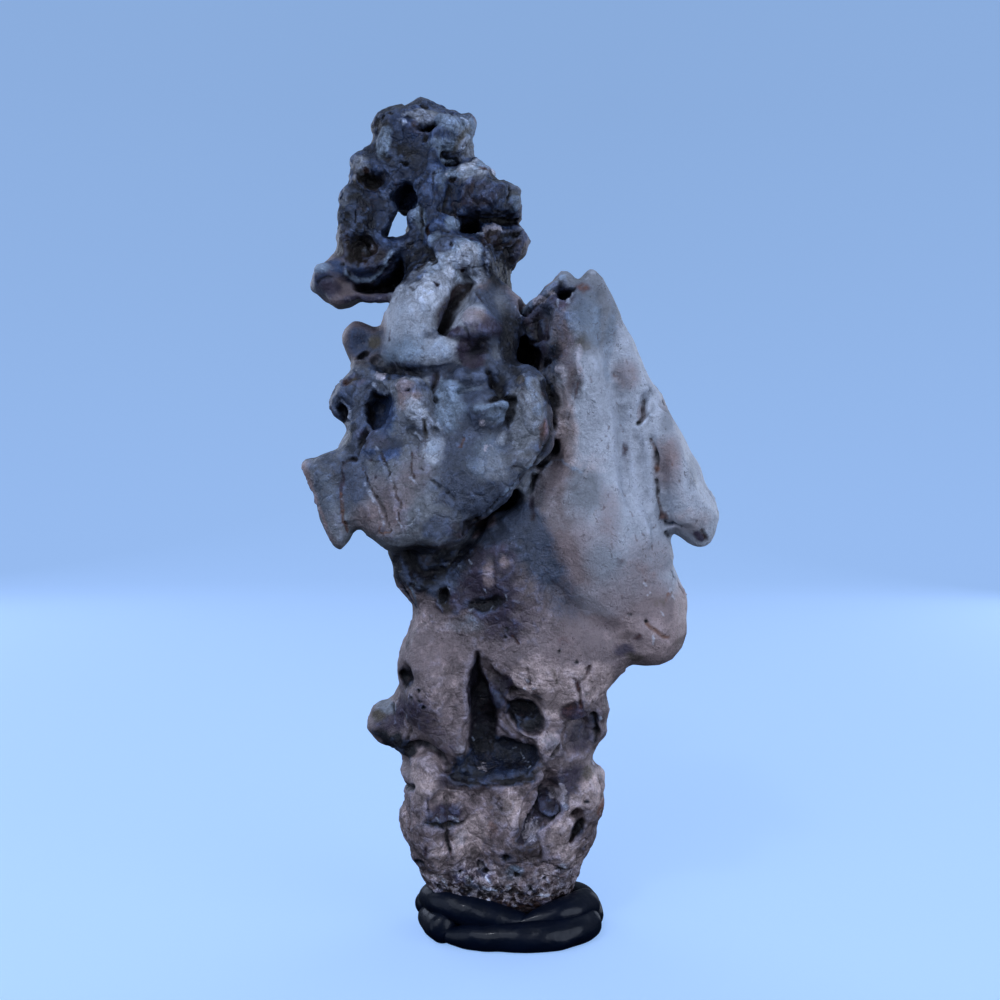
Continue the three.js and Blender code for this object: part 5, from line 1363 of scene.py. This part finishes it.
groove(0.6, 0.8, [(27.2, 77.8), (28.5, 78.2), (29.6, 77.7)], slate=0.8)
groove(0.5, 0.6, [(27.3, 76.6), (27.8, 75.8)], ink=0.9)
groove(0.6, 0.6, [(33.4, 77), (33.9, 75.9), (34.4, 75)], rust=0.7, ink=0.6)
stain(32.6, 75.8, 1.8, 0.9, -20, plum=0.9)
DASHES = (  # short rusty marks on the wing: where each starts and stops
    (13.5, 102.8, 13.4, 103.7), (14.9, 103.6, 15, 103), (15.5, 101.6, 15.4, 101),
    (16.6, 99.1, 16.5, 98.6), (18.4, 99.3, 18.7, 98.5), (19.1, 95.6, 19.5, 94.4),
    (16.8, 95.3, 16.8, 94.7), (16.4, 94, 16.3, 93.5), (16.6, 92.3, 16.6, 90.8),
    (19.3, 83.9, 19.7, 83.1), (17.6, 115.5, 17.6, 114.8), (19.8, 106.9, 19.8, 106),
    (18.2, 105.5, 18, 104.9), (17.8, 104.5, 17.6, 104), (18.6, 103.9, 18.6, 103.3),
    (14.7, 111.1, 14.7, 110.5), (21.3, 76.5, 21.6, 75.3), (24.4, 74.9, 24.5, 73.8),
    (25.3, 77.9, 24.9, 77.4), (28.7, 85.8, 29, 85.2), (20.4, 80.4, 20.9, 79.6), (16.6, 83.5, 16.6, 83),
    (15.8, 81.2, 15.6, 80.8), (34.2, 81.1, 34, 80.8), (33.8, 79.9, 33.8, 79.4), (32, 78.7, 31.8, 78.3),
    (25.9, 74.8, 25.9, 74.4), (28.7, 68.6, 28.5, 67.9), (19, 65.8, 19.1, 65.3),
    (24.8, 64.1, 24.8, 63.8), (23.3, 68.3, 23.2, 68), (29.6, 89.7, 29.8, 89.2),
    (27.6, 88.4, 27.4, 88.8), (31, 87.1, 31.2, 86.7), (22.6, 76.8, 22.8, 76.2),
    (17.2, 77.9, 17.5, 77.6),
)
for x0, z0, x1, z1 in DASHES:
    groove(0.34, 0.2, [(x0, z0), (x1, z1)], ragged=0.2, rust=0.5, plum=0.45)
stain(20, 91.5, 0.7, 1.2, rust=0.35, plum=0.8)
painted_glints(0.35, 0.25, 1, (
    [(18.3, 76.8), (18.6, 76.4)], [(19.1, 75.3), (19.4, 74.8)], [(23, 67.9), (23.4, 67.4)],
    [(24.2, 66), (23.7, 65.7)], [(28.1, 66.5), (27.8, 66.1)], [(28.3, 65.3), (28.6, 64.8)],
    [(13.3, 88.6), (13.3, 88.2)], [(14.2, 99.5), (14.2, 99.1)], [(24.5, 58.8), (24.7, 57.2)],
    [(26, 62.9), (26.4, 62.1)],
))
# Belly and middle.
groove(0.5, 0.5, [(23.4, 61), (24, 60.3), (25.3, 59.5), (26.4, 58.5), (27.5, 58.2)], ragged=0.3, rust=0.9)
pit(23.4, 61.2, 0.4, 0.4, 0.5, ink=0.9)
pit(20.6, 62.3, 0.4, 0.4, 0.4, ink=0.9)
stain(22.2, 58.4, 0.8, 0.6, rust=0.6, plum=0.8)
stain(21.8, 54.6, 1.8, 0.9, olive=0.7, ink=0.4)
stain(20.2, 56, 1.8, 1.6, plum=0.8)
stain(29.4, 57, 1.4, 1.3, olive=0.5)
stain(27.6, 65.3, 1.4, 0.5, 35, rust=0.8)
stain(26, 64.2, 1.2, 0.6, olive=0.6)
stain(18, 71.4, 2, 0.8, 20, rust=0.35, plum=0.5)
groove(0.6, 0.3, [(3.2, 83), (3.4, 81), (3.6, 79.2)], plum=0.9, ink=0.3)
stain(3.6, 79.2, 0.6, 0.8, rust=0.4, ink=0.6)
stain(-4, 69, 1.2, 2, warm=0.9)
stain(-1.2, 71.5, 1, 1, warm=0.8)
groove(0.5, 0.2, [(-3.2, 73), (-3, 70), (-2.8, 67)], rust=0.35, plum=0.8)
pit(-9, 76.8, 0.8, 0.6, -0.4, rust=0.35, warm=0.8)
pit(-6.4, 76, 0.6, 0.9, -0.4, -30, rust=0.35, warm=0.8)
pit(-8.6, 76.8, 0.4, 0.4, 0.5, ink=0.9)
painted_glints(0.35, 0.3, 0.8, (
    [(-7.7, 71.8), (-7.2, 71.2)], [(-11.2, 67), (-10.8, 66.4)], [(-4.8, 66.7), (-4.4, 66)],
    [(-1.1, 66.2), (-0.9, 65.1)], [(0.5, 64.9), (0.9, 64.7)], [(-3.3, 63.8), (-3.9, 63)],
    [(-7.1, 63.4), (-6.9, 62.8), (-7.8, 62.7)], [(-9.4, 70.9), (-9, 70.6)],
))
groove(
    0.4, -0.35,
    [(-18.4, 67.1), (-17.7, 66.2), (-17.2, 64.8), (-17.2, 63.8)],
    ragged=0.2, cool=1, white=0.35,
)
groove(0.4, -0.3, [(-17.4, 67.9), (-16.9, 67.3), (-16.4, 66.8)], ragged=0.2, cool=1, white=0.35)
groove(0.7, 0.6, [(-19.7, 66.8), (-18.9, 65.6), (-18.2, 64.4), (-17.4, 63)], ragged=0.2, ink=1)
stain(-8, 60.7, 1.8, 1, cool=0.3)
# Trunk.
pit(-18.9, 56.3, 0.6, 1.1, 0.4, rust=0.4, ink=0.6)
groove(0.4, 0.3, [(-18.9, 51), (-18.2, 50.7)], olive=0.9, ink=0.5)
for x, z in (
    (-16.6, 48.4), (-18, 46.7), (-16.5, 46.4), (-15.8, 45.3), (-0.9, 59.7), (8.2, 56), (11.2, 54),
    (-1.1, 58.2),
):
    pit(x, z, 0.4, 0.4, 0.5, ragged=0.2, ink=0.95)
groove(0.5, 0.3, [(0.1, 58.3), (0.5, 57.8), (1, 57.2)], rust=0.7, plum=0.8)
stain(9, 58, 1.5, 1.2, -40, rust=0.4, plum=0.4)
groove(0.5, 0.4, [(7, 52.8), (7.3, 51.4), (7.8, 50.4)], olive=0.8)
groove(0.5, 0.4, [(2.5, 53), (3, 51.4), (3, 50)], rust=0.6, plum=0.7)
groove(0.5, 0.5, [(13.6, 53.2), (13.3, 52), (12.7, 51), (11.8, 50.3), (10.9, 51)], rust=0.5, plum=0.8)
groove(0.6, 0.6, [(11.4, 50.2), (11.8, 48.2), (12, 46.6), (12.3, 45.4)], rust=0.6, plum=0.8)
stain(12.9, 48.3, 0.6, 0.5, olive=0.9)
stain(10.8, 44.2, 2.2, 1.6, plum=0.9, rust=0.4)
for x, z in ((2.8, 50.5), (2.2, 49.1), (3.8, 49.2)):
    pit(x, z, 0.4, 0.4, -0.25, white=0.9)
groove(0.6, 0.5, [(-8.1, 48.4), (-7.8, 47), (-7.7, 45.4)], rust=0.5, plum=0.9)
pit(3, 45.6, 1.2, 1, -0.4, plum=0.9)
stain(-5.4, 33.3, 1.2, 0.7, druse=0.45)
groove(0.4, -0.3, [(-9.4, 38.4), (-8.8, 37.9)], white=0.7)
pit(-9.5, 37.3, 1, 0.9, -0.5, druse=0.8)
painted_glints(0.35, 0.3, 0.9, (
    [(1.7, 35.3), (2, 34.9)], [(2.2, 34.6), (2.5, 34.3)], [(3, 34.3), (3.3, 33.8)],
    [(0.3, 36), (0.8, 36.1)], [(-7.4, 38.4), (-7, 37.7)],
))
groove(0.5, 0.8, [(8.7, 38.4), (8.1, 37.2), (7.2, 36.1)], ragged=0.2, ink=0.6)
pit(-25, 41.5, 1.6, 1, 0.3, olive=0.8)
groove(0.6, 0.7, [(-22.2, 43.8), (-21.9, 42.2)], ink=0.8)
groove(0.8, -0.6, [(-19.6, 41.2), (-19.2, 40), (-19.9, 37.8)], warm=0.6)
groove(0.5, 0.7, [(-18.7, 41), (-18.5, 40), (-19.2, 38)], ink=0.8)
# Lower trunk and foot.
painted_glints(0.4, 0.3, 0.9, (
    [(-13.7, 24.9), (-13.3, 24.5)], [(-11.4, 24.5), (-10.8, 24.2), (-10, 24.1)],
    [(-10, 23.7), (-9.8, 23.5)],
))
groove(0.5, 0.9, [(-11.7, 22.9), (-11.7, 21), (-11.6, 19.5), (-11.3, 18.2)], ragged=0.3, ink=0.9)
groove(0.5, 0.4, [(-11.3, 18.2), (-11, 16.4)], rust=0.5, plum=0.8)
groove(0.6, 0.5, [(-14.9, 26.4), (-15.2, 29.2)], plum=0.9)
groove(0.6, 0.5, [(-15.5, 19.6), (-15.6, 17.4)], rust=0.5, plum=0.9)
stain(3, 21.6, 1.6, 1.6, -30, ink=0.5)
stain(3.6, 22.6, 1.3, 2, -30, druse=0.8)
stain(9, 27.6, 1.4, 2, -20, plum=0.8)
stain(3.8, 20.8, 1, 0.8, druse=0.6)
stain(8.6, 28.8, 1.3, 1.6, -35, druse=1)
stain(9.2, 26.8, 0.7, 1, white=0.8)
groove(0.5, 0.8, [(8.6, 26), (7.5, 24.6), (6.2, 23.4), (5, 22.4)], ink=1)
groove(0.6, 0.8, [(5.2, 29.2), (4.4, 27), (3.3, 24.6), (2.2, 22.4), (1.2, 20.6)], ink=0.9, plum=0.9)
stain(16.6, 25.2, 0.9, 1.6, rust=0.9)
stain(13.6, 32, 1.2, 1, olive=0.7)
stain(8.4, 31, 1.8, 0.8, plum=0.9, olive=0.4)
groove(0.6, 0.5, [(10.7, 19.6), (11.2, 20.4)], rust=0.7, plum=0.8)
groove(0.6, 0.6, [(5, 20.2), (5.2, 18.5), (5, 17)], rust=0.5, ink=0.5)
stain(-2, 27.4, 1.6, 1.6, rust=0.35, olive=0.4)
stain(-3.5, 22.5, 2.2, 1.4, rust=0.45)
groove(0.5, 0.4, [(-2.2, 28.6), (-2.8, 27.4), (-1.8, 26.4)], plum=0.9)
pit(-4.7, 15.2, 0.3, 0.3, -0.3, white=1)
for x, z, r in (
    (-7.5, 12, 0.8), (-9.6, 13.6, 0.7), (-4.6, 14, 0.7), (3.4, 10.6, 0.8), (8.8, 14.4, 0.7), (11, 13, 0.7),
    (6, 12.4, 0.5), (-13.6, 10.4, 0.8), (0.6, 13.4, 0.5),
):
    pit(x, z, r, r, 0.9, ink=0.95)
painted_glints(0.45, 0.4, 0.9, (
    [(-13.1, 12.6), (-12.5, 11.6), (-12, 10.8)], [(-8.2, 12.6), (-8, 12), (-7.3, 11.7)],
    [(-5.4, 11), (-4, 10.6), (-2.7, 10.2)], [(-0.9, 11.2), (-0.4, 10.6)], [(5, 9.1), (5.6, 8.8)],
    [(6.1, 8.7), (6.7, 8.6)], [(-4.3, 8.2), (-4, 8)], [(0.5, 6.9), (0.8, 6.7)], [(1.5, 5.8), (2.2, 5.3)],
    [(-4.6, 12.8), (-4, 12)], [(6.6, 12), (6.9, 11.4)], [(9.2, 15.6), (9.6, 14.9)],
    [(8.2, 13), (8.5, 12.4)],
))
stain(-16, 12.4, 1.8, 1.8, warm=0.9)
# Painted shadow: a dark band along the foot just above the putty.
stain(-6, 10, 5, 1.4, ink=0.7)
stain(10, 11.4, 2.4, 1.2, ink=0.5)
# Darker seams, as painted shade: along the slab's rim, in the crown and round the trunk's recess.
groove(1.3, 0.5, [(6.6, 103), (7.4, 99), (7, 95), (5.6, 91.4), (3.8, 88.8), (1.6, 86.4)], ink=0.8)
stain(-3, 125, 2, 3.6, 15, ink=0.9)
stain(-20.2, 120.6, 2.2, 1, 15, ink=0.9)
groove(0.7, 0.5, [(-10.6, 32.2), (-8, 31), (-4, 30.6), (0, 31.4), (2.6, 32.8)], ink=0.8)
groove(2.2, 1.1, [(-3.4, 51), (-1.8, 49.6), (0.2, 48)], umber=0.9)
stain(-2.4, 47.6, 1.3, 3.2, -25, plum=0.9, ink=0.4)
stain(-0.6, 44.6, 1.6, 0.9, -30, umber=0.8)
stain(4.6, 47.4, 1.4, 2, 0, umber=0.7)
stain(-5.2, 47.6, 0.9, 3.4, -12, umber=0.8)
stain(11, 46, 1.6, 1.2, 30, umber=0.7)
# The other sides: cracks with pale lips painted as highlights on their rims, stains, and small marks strewn
# all over.
CRACKS = {
    "back": (
        [(-20, 147), (-17.6, 144.6), (-16.8, 141.6)], [(-10, 137), (-11.4, 134), (-11, 130.8)],
        [(-24, 146), (-25.8, 143), (-27, 141.4)], [(-4, 140), (-2.2, 137), (-2.6, 134.6)],
        [(-17, 118.4), (-15.6, 115.6), (-16, 112.8)], [(-4, 118), (-4.6, 114.6), (-3.6, 112)],
        [(4, 99), (3.6, 93), (4.8, 87), (4.2, 80.6)], [(-2.4, 98.6), (-2, 92.6), (-3, 86.4)],
        [(23, 97), (23.6, 91), (24.4, 85.6)], [(12.4, 112), (12, 107), (12.6, 103)],
        [(28.6, 92), (29.8, 87.6), (31, 84)], [(24, 72), (24.8, 67.4), (24.2, 63)],
        [(19.6, 66), (19, 60.6)], [(6.6, 70), (5.8, 63), (6.6, 56.4)],
        [(-10.6, 62), (-11.2, 55), (-10, 49)], [(-14.8, 58), (-15.4, 51.6)],
        [(8, 47), (8.8, 41), (8, 35.4)], [(-1.8, 41), (-2.6, 36), (-1.6, 31.4)],
        [(-6.4, 26), (-6, 20), (-7, 14.6)], [(6, 26.6), (6.6, 20.6), (5.8, 15)], [(-14.6, 28), (-15.2, 22)],
    ),
    "left": (
        [(-5, 145), (-3.8, 141), (-4.6, 137)], [(1.6, 139), (2.4, 134.6), (1.6, 131)],
        [(5, 123), (0.6, 124.2), (-4.6, 122.8)], [(-12.4, 118), (-13, 113.4)], [(4.4, 114), (3.8, 110)],
        [(-9, 104), (-9.6, 99), (-8.8, 94)], [(-6, 90.4), (-6.8, 84.6), (-6, 79)],
        [(-12.6, 89.6), (-13.4, 84), (-12.6, 79)], [(4.6, 90), (4, 84)], [(10, 96), (11.6, 90), (11, 85)],
        [(0.6, 66), (0, 59), (1, 52.6)], [(7.8, 62), (7, 55), (7.6, 48)], [(-4.4, 60), (-5, 54)],
        [(-3, 46), (-3.6, 41)], [(9.6, 72), (9, 66)], [(0.6, 26), (0, 19.4), (0.8, 13)],
        [(7.2, 27), (7.8, 20)], [(-7, 26), (-7.4, 19)],
    ),
    "right": (
        [(-2, 147), (-1.4, 142.6), (-2.2, 139)], [(5.6, 137), (5, 131.6)], [(-0.6, 126), (-0.2, 121.6)],
        [(-8.6, 104), (-8, 99.4), (-8.6, 95)], [(-1.6, 92), (-1, 86), (-1.8, 81)],
        [(2.4, 112), (3, 104), (2.6, 96)], [(-10.4, 84), (-10, 79)], [(-10, 70), (-8.8, 65.6), (-9.2, 61)],
        [(-3.4, 68), (-2.8, 62.6), (-3.6, 57.6)], [(7.6, 80), (7, 72), (7.8, 64), (7.2, 57)],
        [(12.6, 84), (13.4, 77)], [(16.4, 92), (16, 84)], [(0.6, 46), (1.2, 40.4), (0.6, 35.6)],
        [(7.6, 38), (7, 31.4)], [(-4.6, 31), (-4, 25), (-4.8, 20)], [(3.4, 27), (2.8, 20.6), (3.4, 15)],
        [(8.6, 16), (8, 11.6)],
    ),
}
for side, cracks in CRACKS.items():
    for number, points in enumerate(cracks):
        tint = {"ink": 0.6, "plum": 0.5} if number % 3 == 1 else {"rust": 0.6, "plum": 0.5}
        groove(0.36, 0.5, points, side=side, ragged=0.9, **tint)
        # Each lip is raised and painted pale, as a painted highlight on the crack's rim.
        lip = [(u + 0.75, v - 0.4) for u, v in points[:2]]
        groove(0.45, -0.35, lip, side=side, ragged=0.6, white=0.6)
SPOTS = {  # place, radii, colour, strength
    "back": (
        (-26, 134, 1.6, 3, "ink", 0.8), (-6, 108, 3, 2, "ink", 0.7), (20, 104, 1.4, 4, "cool", 0.5),
        (26, 88, 2, 4, "warm", 0.5), (17, 86, 1.4, 5, "cool", 0.4), (21, 60, 3, 2, "rust", 0.4),
        (26, 57, 3, 1.6, "umber", 0.5), (8, 84, 2, 5, "slate", 0.6), (0, 82, 3, 5, "slate", 0.5),
        (-12, 78, 4, 3, "ink", 0.5), (-18, 70, 3, 3, "navy", 0.6), (-3, 54, 2, 4, "plum", 0.6),
        (12, 48, 2.4, 3, "umber", 0.4), (0, 34, 5, 2, "plum", 0.6), (-14, 32, 2, 3, "umber", 0.5),
        (12, 34, 2, 3, "olive", 0.5), (-2, 22, 2.4, 3, "rust", 0.4), (8, 14, 2, 2, "umber", 0.5),
        (-18.6, 44, 2, 3, "plum", 0.6),
    ),
    "left": (
        (0, 137, 3, 3, "ink", 0.5), (5, 126, 2, 1.6, "umber", 0.6), (-10, 110, 3, 2, "slate", 0.5),
        (8, 104, 2.4, 3, "slate", 0.6), (-15, 86, 2, 3, "warm", 0.5), (-9, 83, 1.6, 4, "slate", 0.5),
        (14, 88, 3, 5, "slate", 0.5), (2, 74, 4, 2, "ink", 0.7), (12, 66, 3, 4, "plum", 0.6),
        (-4, 62, 2, 3, "warm", 0.5), (3, 50, 2, 3, "rust", 0.35), (-5, 44, 2, 2, "plum", 0.6),
        (5, 38, 2, 2, "umber", 0.5), (-1, 24, 2, 3, "rust", 0.4), (5, 26, 2, 2, "plum", 0.5),
        (-5, 14, 2, 2, "umber", 0.5),
    ),
    "right": (
        (4, 147, 2, 1.6, "ink", 0.7), (-4, 141, 2, 1.4, "ink", 0.6), (-7, 113, 1.6, 4, "cool", 0.5),
        (-1, 100, 2, 5, "warm", 0.5), (-9, 93, 1.4, 3, "rust", 0.3), (-5, 79, 3, 2, "slate", 0.4),
        (6, 90, 2, 6, "slate", 0.5), (14, 82, 3, 5, "plum", 0.5), (-8, 57, 3, 2, "umber", 0.5),
        (-1, 61, 2, 3, "rust", 0.35), (10, 62, 2, 4, "plum", 0.6), (4, 48, 3, 2, "plum", 0.6),
        (-5, 42, 2, 2, "umber", 0.5), (5, 34, 2, 2, "umber", 0.5), (-2, 22, 2, 2, "rust", 0.4),
        (4, 14, 2, 2, "plum", 0.5),
    ),
}
for side, spots in SPOTS.items():
    for u, v, ru, rv, colour, amount in spots:
        stain(u, v, ru, rv, side=side, **{colour: amount})
STREWN = 46  # marks on each side
GOLDEN = 0.618  # a step by which they never line up
LOWEST_MARK = 12
MARK_RISE = 3.05
for side, wide in (("back", 15), ("left", 9), ("right", 9)):
    for k in range(STREWN):  # rusty dashes, crystals and pinholes in turn
        u = (k * GOLDEN % 1 - 0.5) * 2 * wide
        v = LOWEST_MARK + k * MARK_RISE
        if k % 3 == 0:
            groove(0.34, 0.25, [(u, v), (u + 0.2, v - 0.8)], side=side, ragged=0.2, rust=0.6, plum=0.4)
        elif k % 3 == 1:
            groove(0.4, -0.3, [(u, v), (u + 0.5, v - 0.7)], side=side, ragged=0.2, white=0.9)
        else:
            pit(u, v, 0.42, 0.42, 0.6, side=side, ragged=0.2, ink=0.9)
# The rusty, crumbly foot.
zone("druse", 0, 11, 22, 4, 0.45, 0.4)
zone("rust", 0, 10, 22, 5, 0.4, 0.4)
skin.finish_layer(1)

# ---- third layer: the broken, crystalline skin ---------------------------------------------


def shards(size, seed):
    """A small tilt for each cell of a cracked pattern, as broken crystal faces have."""
    shift = Vector((seed * 3.7, seed * 5.1, seed * 2.3))
    tilt = np.empty(len(skin.co))
    for k, p in enumerate(skin.co):
        spot = Vector(p) / size + shift
        centre = noise.voronoi(spot)[1][0]
        lean = noise.cell_vector(centre * 8.3) * 2 - Vector((1, 1, 1))
        tilt[k] = (spot - centre).dot(lean)
    return np.clip(tilt, -1, 1)


broken = skin.paints["broken"]
lumps_4mm = skin.noise(4.2, 21)[:, 0] * 0.55
ridges_2mm = (0.35 - np.abs(skin.noise(2.4, 22)[:, 0])) * 0.5
ridges_1mm = (0.3 - np.abs(skin.noise(1.2, 24)[:, 1])) * 0.22
crystal_faces = shards(2.6, 2) * 0.26
swells_5mm = skin.noise(5, 23)[:, 0] * 0.16
skin.raised = broken * (lumps_4mm + ridges_2mm + ridges_1mm + crystal_faces)
skin.raised += (1 - broken) * swells_5mm
skin.finish_layer(0)

# Dirt and painted shade in what lies low, and wear and painted highlight on what stands proud, by the relief
# just made.
fine, wide = skin.relief(3), skin.relief(14)
knots = 0.35 + 0.65 * broken
everywhere = slice(None)
skin.paint(everywhere, step(-wide, 0.12, 0.6) * knots, {"hollow": 0.9})
skin.paint(everywhere, step(-fine, 0.02, 0.12) * knots, {"hollow": 0.6})
skin.paint(everywhere, step(fine, 0.02, 0.1) * knots, {"edge": 0.9})

skin.store()
stone = thinned(stone, STONE_TRIANGLES)
stone.data.materials.append(dress_stone())
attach(stone, "root")
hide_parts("stone")

# ---- the putty foot ------------------------------------------------------------------------

FLOOR_EASE = 0.5  # the height below which a roll is pressed flat
ROUND_END = ((0.75, 0.1), (0.7, 0.55), (0.4, 0.9))  # how far past the end, and how wide, in radii
ROLLS = {  # the middle line of each roll, with its radius
    "front_roll": [
        (-11.4, -6.2, 1.9, 1.5), (-7.8, -7.2, 2.1, 2.4), (-1.8, -7.8, 2.2, 2.8), (5.2, -7.8, 2.2, 3),
        (11.2, -5.8, 2.4, 2.9), (14.4, -2.6, 2.7, 2.8),
    ],
    "left_knob": [(-12.7, -4.6, 3, 3.2), (-15, -0.1, 2.4, 2.8), (-15.6, 4, 1.8, 2.2)],
    "right_roll": [
        (1.6, -6.6, 4.2, 1), (6.2, -5.6, 5, 2.1), (10.7, -3.8, 5.6, 2.7), (14.2, -0.6, 5.4, 2.8),
    ],
    "left_roll": [
        (-15.4, 0.4, 6.6, 2.5), (-12.6, -3.6, 6.8, 2.9), (-6.8, -5.4, 5.9, 2.9), (-1.2, -5.6, 4.6, 2.5),
        (3.2, -5.2, 3.2, 1.8),
    ],
    "back_left_roll": [
        (-16.2, 2.4, 4.4, 2.4), (-14.8, 6.4, 3.4, 2.9), (-10.3, 9.6, 2.2, 3), (-3.8, 11, 1.8, 2.9),
        (0.8, 11.2, 1.8, 2.4),
    ],
    "back_right_roll": [(15.6, 1.8, 2, 2.2), (14, 5.4, 4.2, 3), (9.8, 9.2, 2.4, 3), (3.2, 10.6, 1.9, 2.7)],
}


def rolled(name, path):
    """A soft roll with round ends, pressed flat underneath."""
    curve = bpy.data.curves.new(name, "CURVE")
    curve.dimensions = "3D"
    curve.bevel_depth = MM
    curve.bevel_resolution = 8
    curve.use_fill_caps = True
    curve.resolution_u = 10
    spline = curve.splines.new("NURBS")
    first, last = np.array(path[0]), np.array(path[-1])
    start = first[:3] - np.array(path[1])[:3]
    stop = last[:3] - np.array(path[-2])[:3]
    start, stop = start / np.linalg.norm(start), stop / np.linalg.norm(stop)
    points = [(*(first[:3] + start * first[3] * k), first[3] * r) for k, r in ROUND_END]
    points += path
    points += [(*(last[:3] + stop * last[3] * k), last[3] * r) for k, r in reversed(ROUND_END)]
    spline.points.add(len(points) - 1)
    for point, (x, y, z, radius) in zip(spline.points, points):
        point.co = (x * MM, y * MM, z * MM, 1)
        point.radius = radius
    spline.use_endpoint_u = True
    spline.order_u = 3
    roll = remeshed(add_object(name, curve), PUTTY_VOXEL)
    shape = Skin(roll)
    dents = shape.noise(3.2, len(path) + 1)[:, :1] * 0.22
    shape.co += shape.normal * dents
    height = shape.co[:, 2]
    eased = FLOOR_EASE * np.exp((height - FLOOR_EASE) / FLOOR_EASE)
    shape.co[:, 2] = np.where(height < FLOOR_EASE, eased, height)
    shape.start_layer()
    return roll


putty = dress_putty()
for name, path in ROLLS.items():
    roll = rolled(name, path)
    roll.data.materials.append(putty)
    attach(roll, "root")
    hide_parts("putty_" + name)

pad = remeshed(copy_of_node("putty_pad", "under_pad"), PAD_VOXEL)
Skin(pad).smooth(4)
pad.data.materials.append(putty)
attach(pad, "root")
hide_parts("putty_pad")

# ---- stage, light and camera ---------------------------------------------------------------

BOWL_RADIUS = 900
BOWL_HEIGHT = 700
BOWL_FILLET = 300
FILLET_STEPS = 12
BOWL_STEPS = 64

CAMERA_PLACE = (-2.17, -196.0, 88.3)
CAMERA_TILT = 1.864  # degrees down
CAMERA_SENSOR = 36
CAMERA_LENS = 37.62


def studio_bowl():
    """A floor that curves up into a wall all round, without a seam."""
    shell = bmesh.new()
    flat = BOWL_RADIUS - BOWL_FILLET
    profile = [(0.001, 0), (flat, 0)]
    for k in range(1, FILLET_STEPS + 1):
        angle = math.radians(90 / FILLET_STEPS * k)
        profile.append((flat + BOWL_FILLET * math.sin(angle), BOWL_FILLET - BOWL_FILLET * math.cos(angle)))
    profile.append((BOWL_RADIUS, BOWL_HEIGHT))
    rim = [shell.verts.new((r * MM, 0, z * MM)) for r, z in profile]
    edges = [shell.edges.new(pair) for pair in zip(rim, rim[1:])]
    bmesh.ops.spin(
        shell, geom=rim + edges, cent=(0, 0, 0), axis=(0, 0, 1), angle=2 * math.pi,
        steps=BOWL_STEPS, use_merge=True,
    )
    bmesh.ops.remove_doubles(shell, verts=shell.verts, dist=1e-5)
    bmesh.ops.recalc_face_normals(shell, faces=shell.faces)
    mesh = bpy.data.meshes.new("studio_bowl")
    shell.to_mesh(mesh)
    shell.free()
    for face in mesh.polygons:
        face.use_smooth = True
    return add_object("studio_bowl", mesh)


def dress_backdrop():
    """Matt studio paper: no highlight, and a faint glow that keeps the far wall even."""
    paper, tree, shader = new_material("pale_backdrop_paper")
    shader.inputs["Base Color"].default_value = linear("8293B0")
    shader.inputs["Roughness"].default_value = 0.9
    shader.inputs["Emission Color"].default_value = linear("8FB4E6")
    place = add(tree, "TexCoord")
    height = add(tree, "SeparateXYZ", {"Vector": place.outputs["Object"]})
    glow = add(
        tree, "MapRange",
        {"Value": height.outputs["Z"], "From Max": 0.45, "To Min": 0.86, "To Max": 0.78},
    )
    tree.links.new(glow.outputs["Result"], shader.inputs["Emission Strength"])
    return paper


bowl = studio_bowl()
bowl.data.materials.append(dress_backdrop())
bowl.visible_diffuse = False
bowl.visible_glossy = False


def soft_light(name, place, aim, size, watts, colour):
    """A round soft light that faces the aim."""
    lamp = bpy.data.lights.new(name, "AREA")
    lamp.shape = "DISK"
    lamp.size = size * MM
    lamp.energy = watts
    lamp.color = linear(colour)[:3]
    holder = add_object(name, lamp)
    holder.visible_camera = False
    holder.location = Vector(place) * MM
    holder.rotation_euler = (Vector(aim) - Vector(place)).to_track_quat("-Z", "Y").to_euler()


soft_light("key_light", (-170, -400, 340), (0, 0, 80), 460, 1.7, "DCE8FF")
soft_light("left_light", (-400, -160, 100), (0, 0, 90), 400, 0.6, "D2E2FF")
soft_light("glint_light", (-120, -300, 420), (0, 0, 60), 46, 0.32, "F0F4FF")
soft_light("top_light", (60, 60, 560), (0, 0, 80), 400, 0.6, "D2E2FF")
soft_light("back_light_left", (-430, 380, 260), (0, 0, 80), 420, 1.1, "D8E4FF")
soft_light("back_light_right", (440, 360, 180), (0, 0, 70), 420, 1.0, "DCE8FF")
soft_light("fill_light", (360, -300, 90), (0, 0, 60), 420, 1.84, "DCE8FF")


def light_room():
    """Faint light from all round, stronger from above and from behind the stone."""
    world = bpy.data.worlds.new("soft_room")
    scene.world = world
    world.use_nodes = True
    tree = world.node_tree
    around = add(tree, "TexCoord")
    way = add(tree, "SeparateXYZ", {"Vector": around.outputs["Generated"]})
    above = add(tree, "MapRange", {"Value": way.outputs["Z"], "From Min": -0.6, "From Max": 0.9})
    behind = add(
        tree, "MapRange",
        {"Value": way.outputs["Y"], "From Min": -1, "From Max": 0.6, "To Min": 0.12, "To Max": 1.0},
    )
    share = add(
        tree, "Math", {0: above.outputs["Result"], 1: behind.outputs["Result"]},
        operation="MULTIPLY",
    )
    sky = add(
        tree, "Mix",
        {SHARE: share.outputs[0], UNDER: linear("1A1F28"), OVER: linear("C4D8F4")}, data_type="RGBA",
    )
    tree.links.new(sky.outputs[2], tree.nodes["Background"].inputs["Color"])
    tree.nodes["Background"].inputs["Strength"].default_value = 0.52


light_room()
scene.view_settings.view_transform = "Standard"

camera = bpy.data.cameras.new("camera")
camera.sensor_width = CAMERA_SENSOR
camera.lens = CAMERA_LENS
eye = add_object("camera", camera)
eye.location = Vector(CAMERA_PLACE) * MM
eye.rotation_euler = (math.radians(90 - CAMERA_TILT), 0, 0)
scene.camera = eye
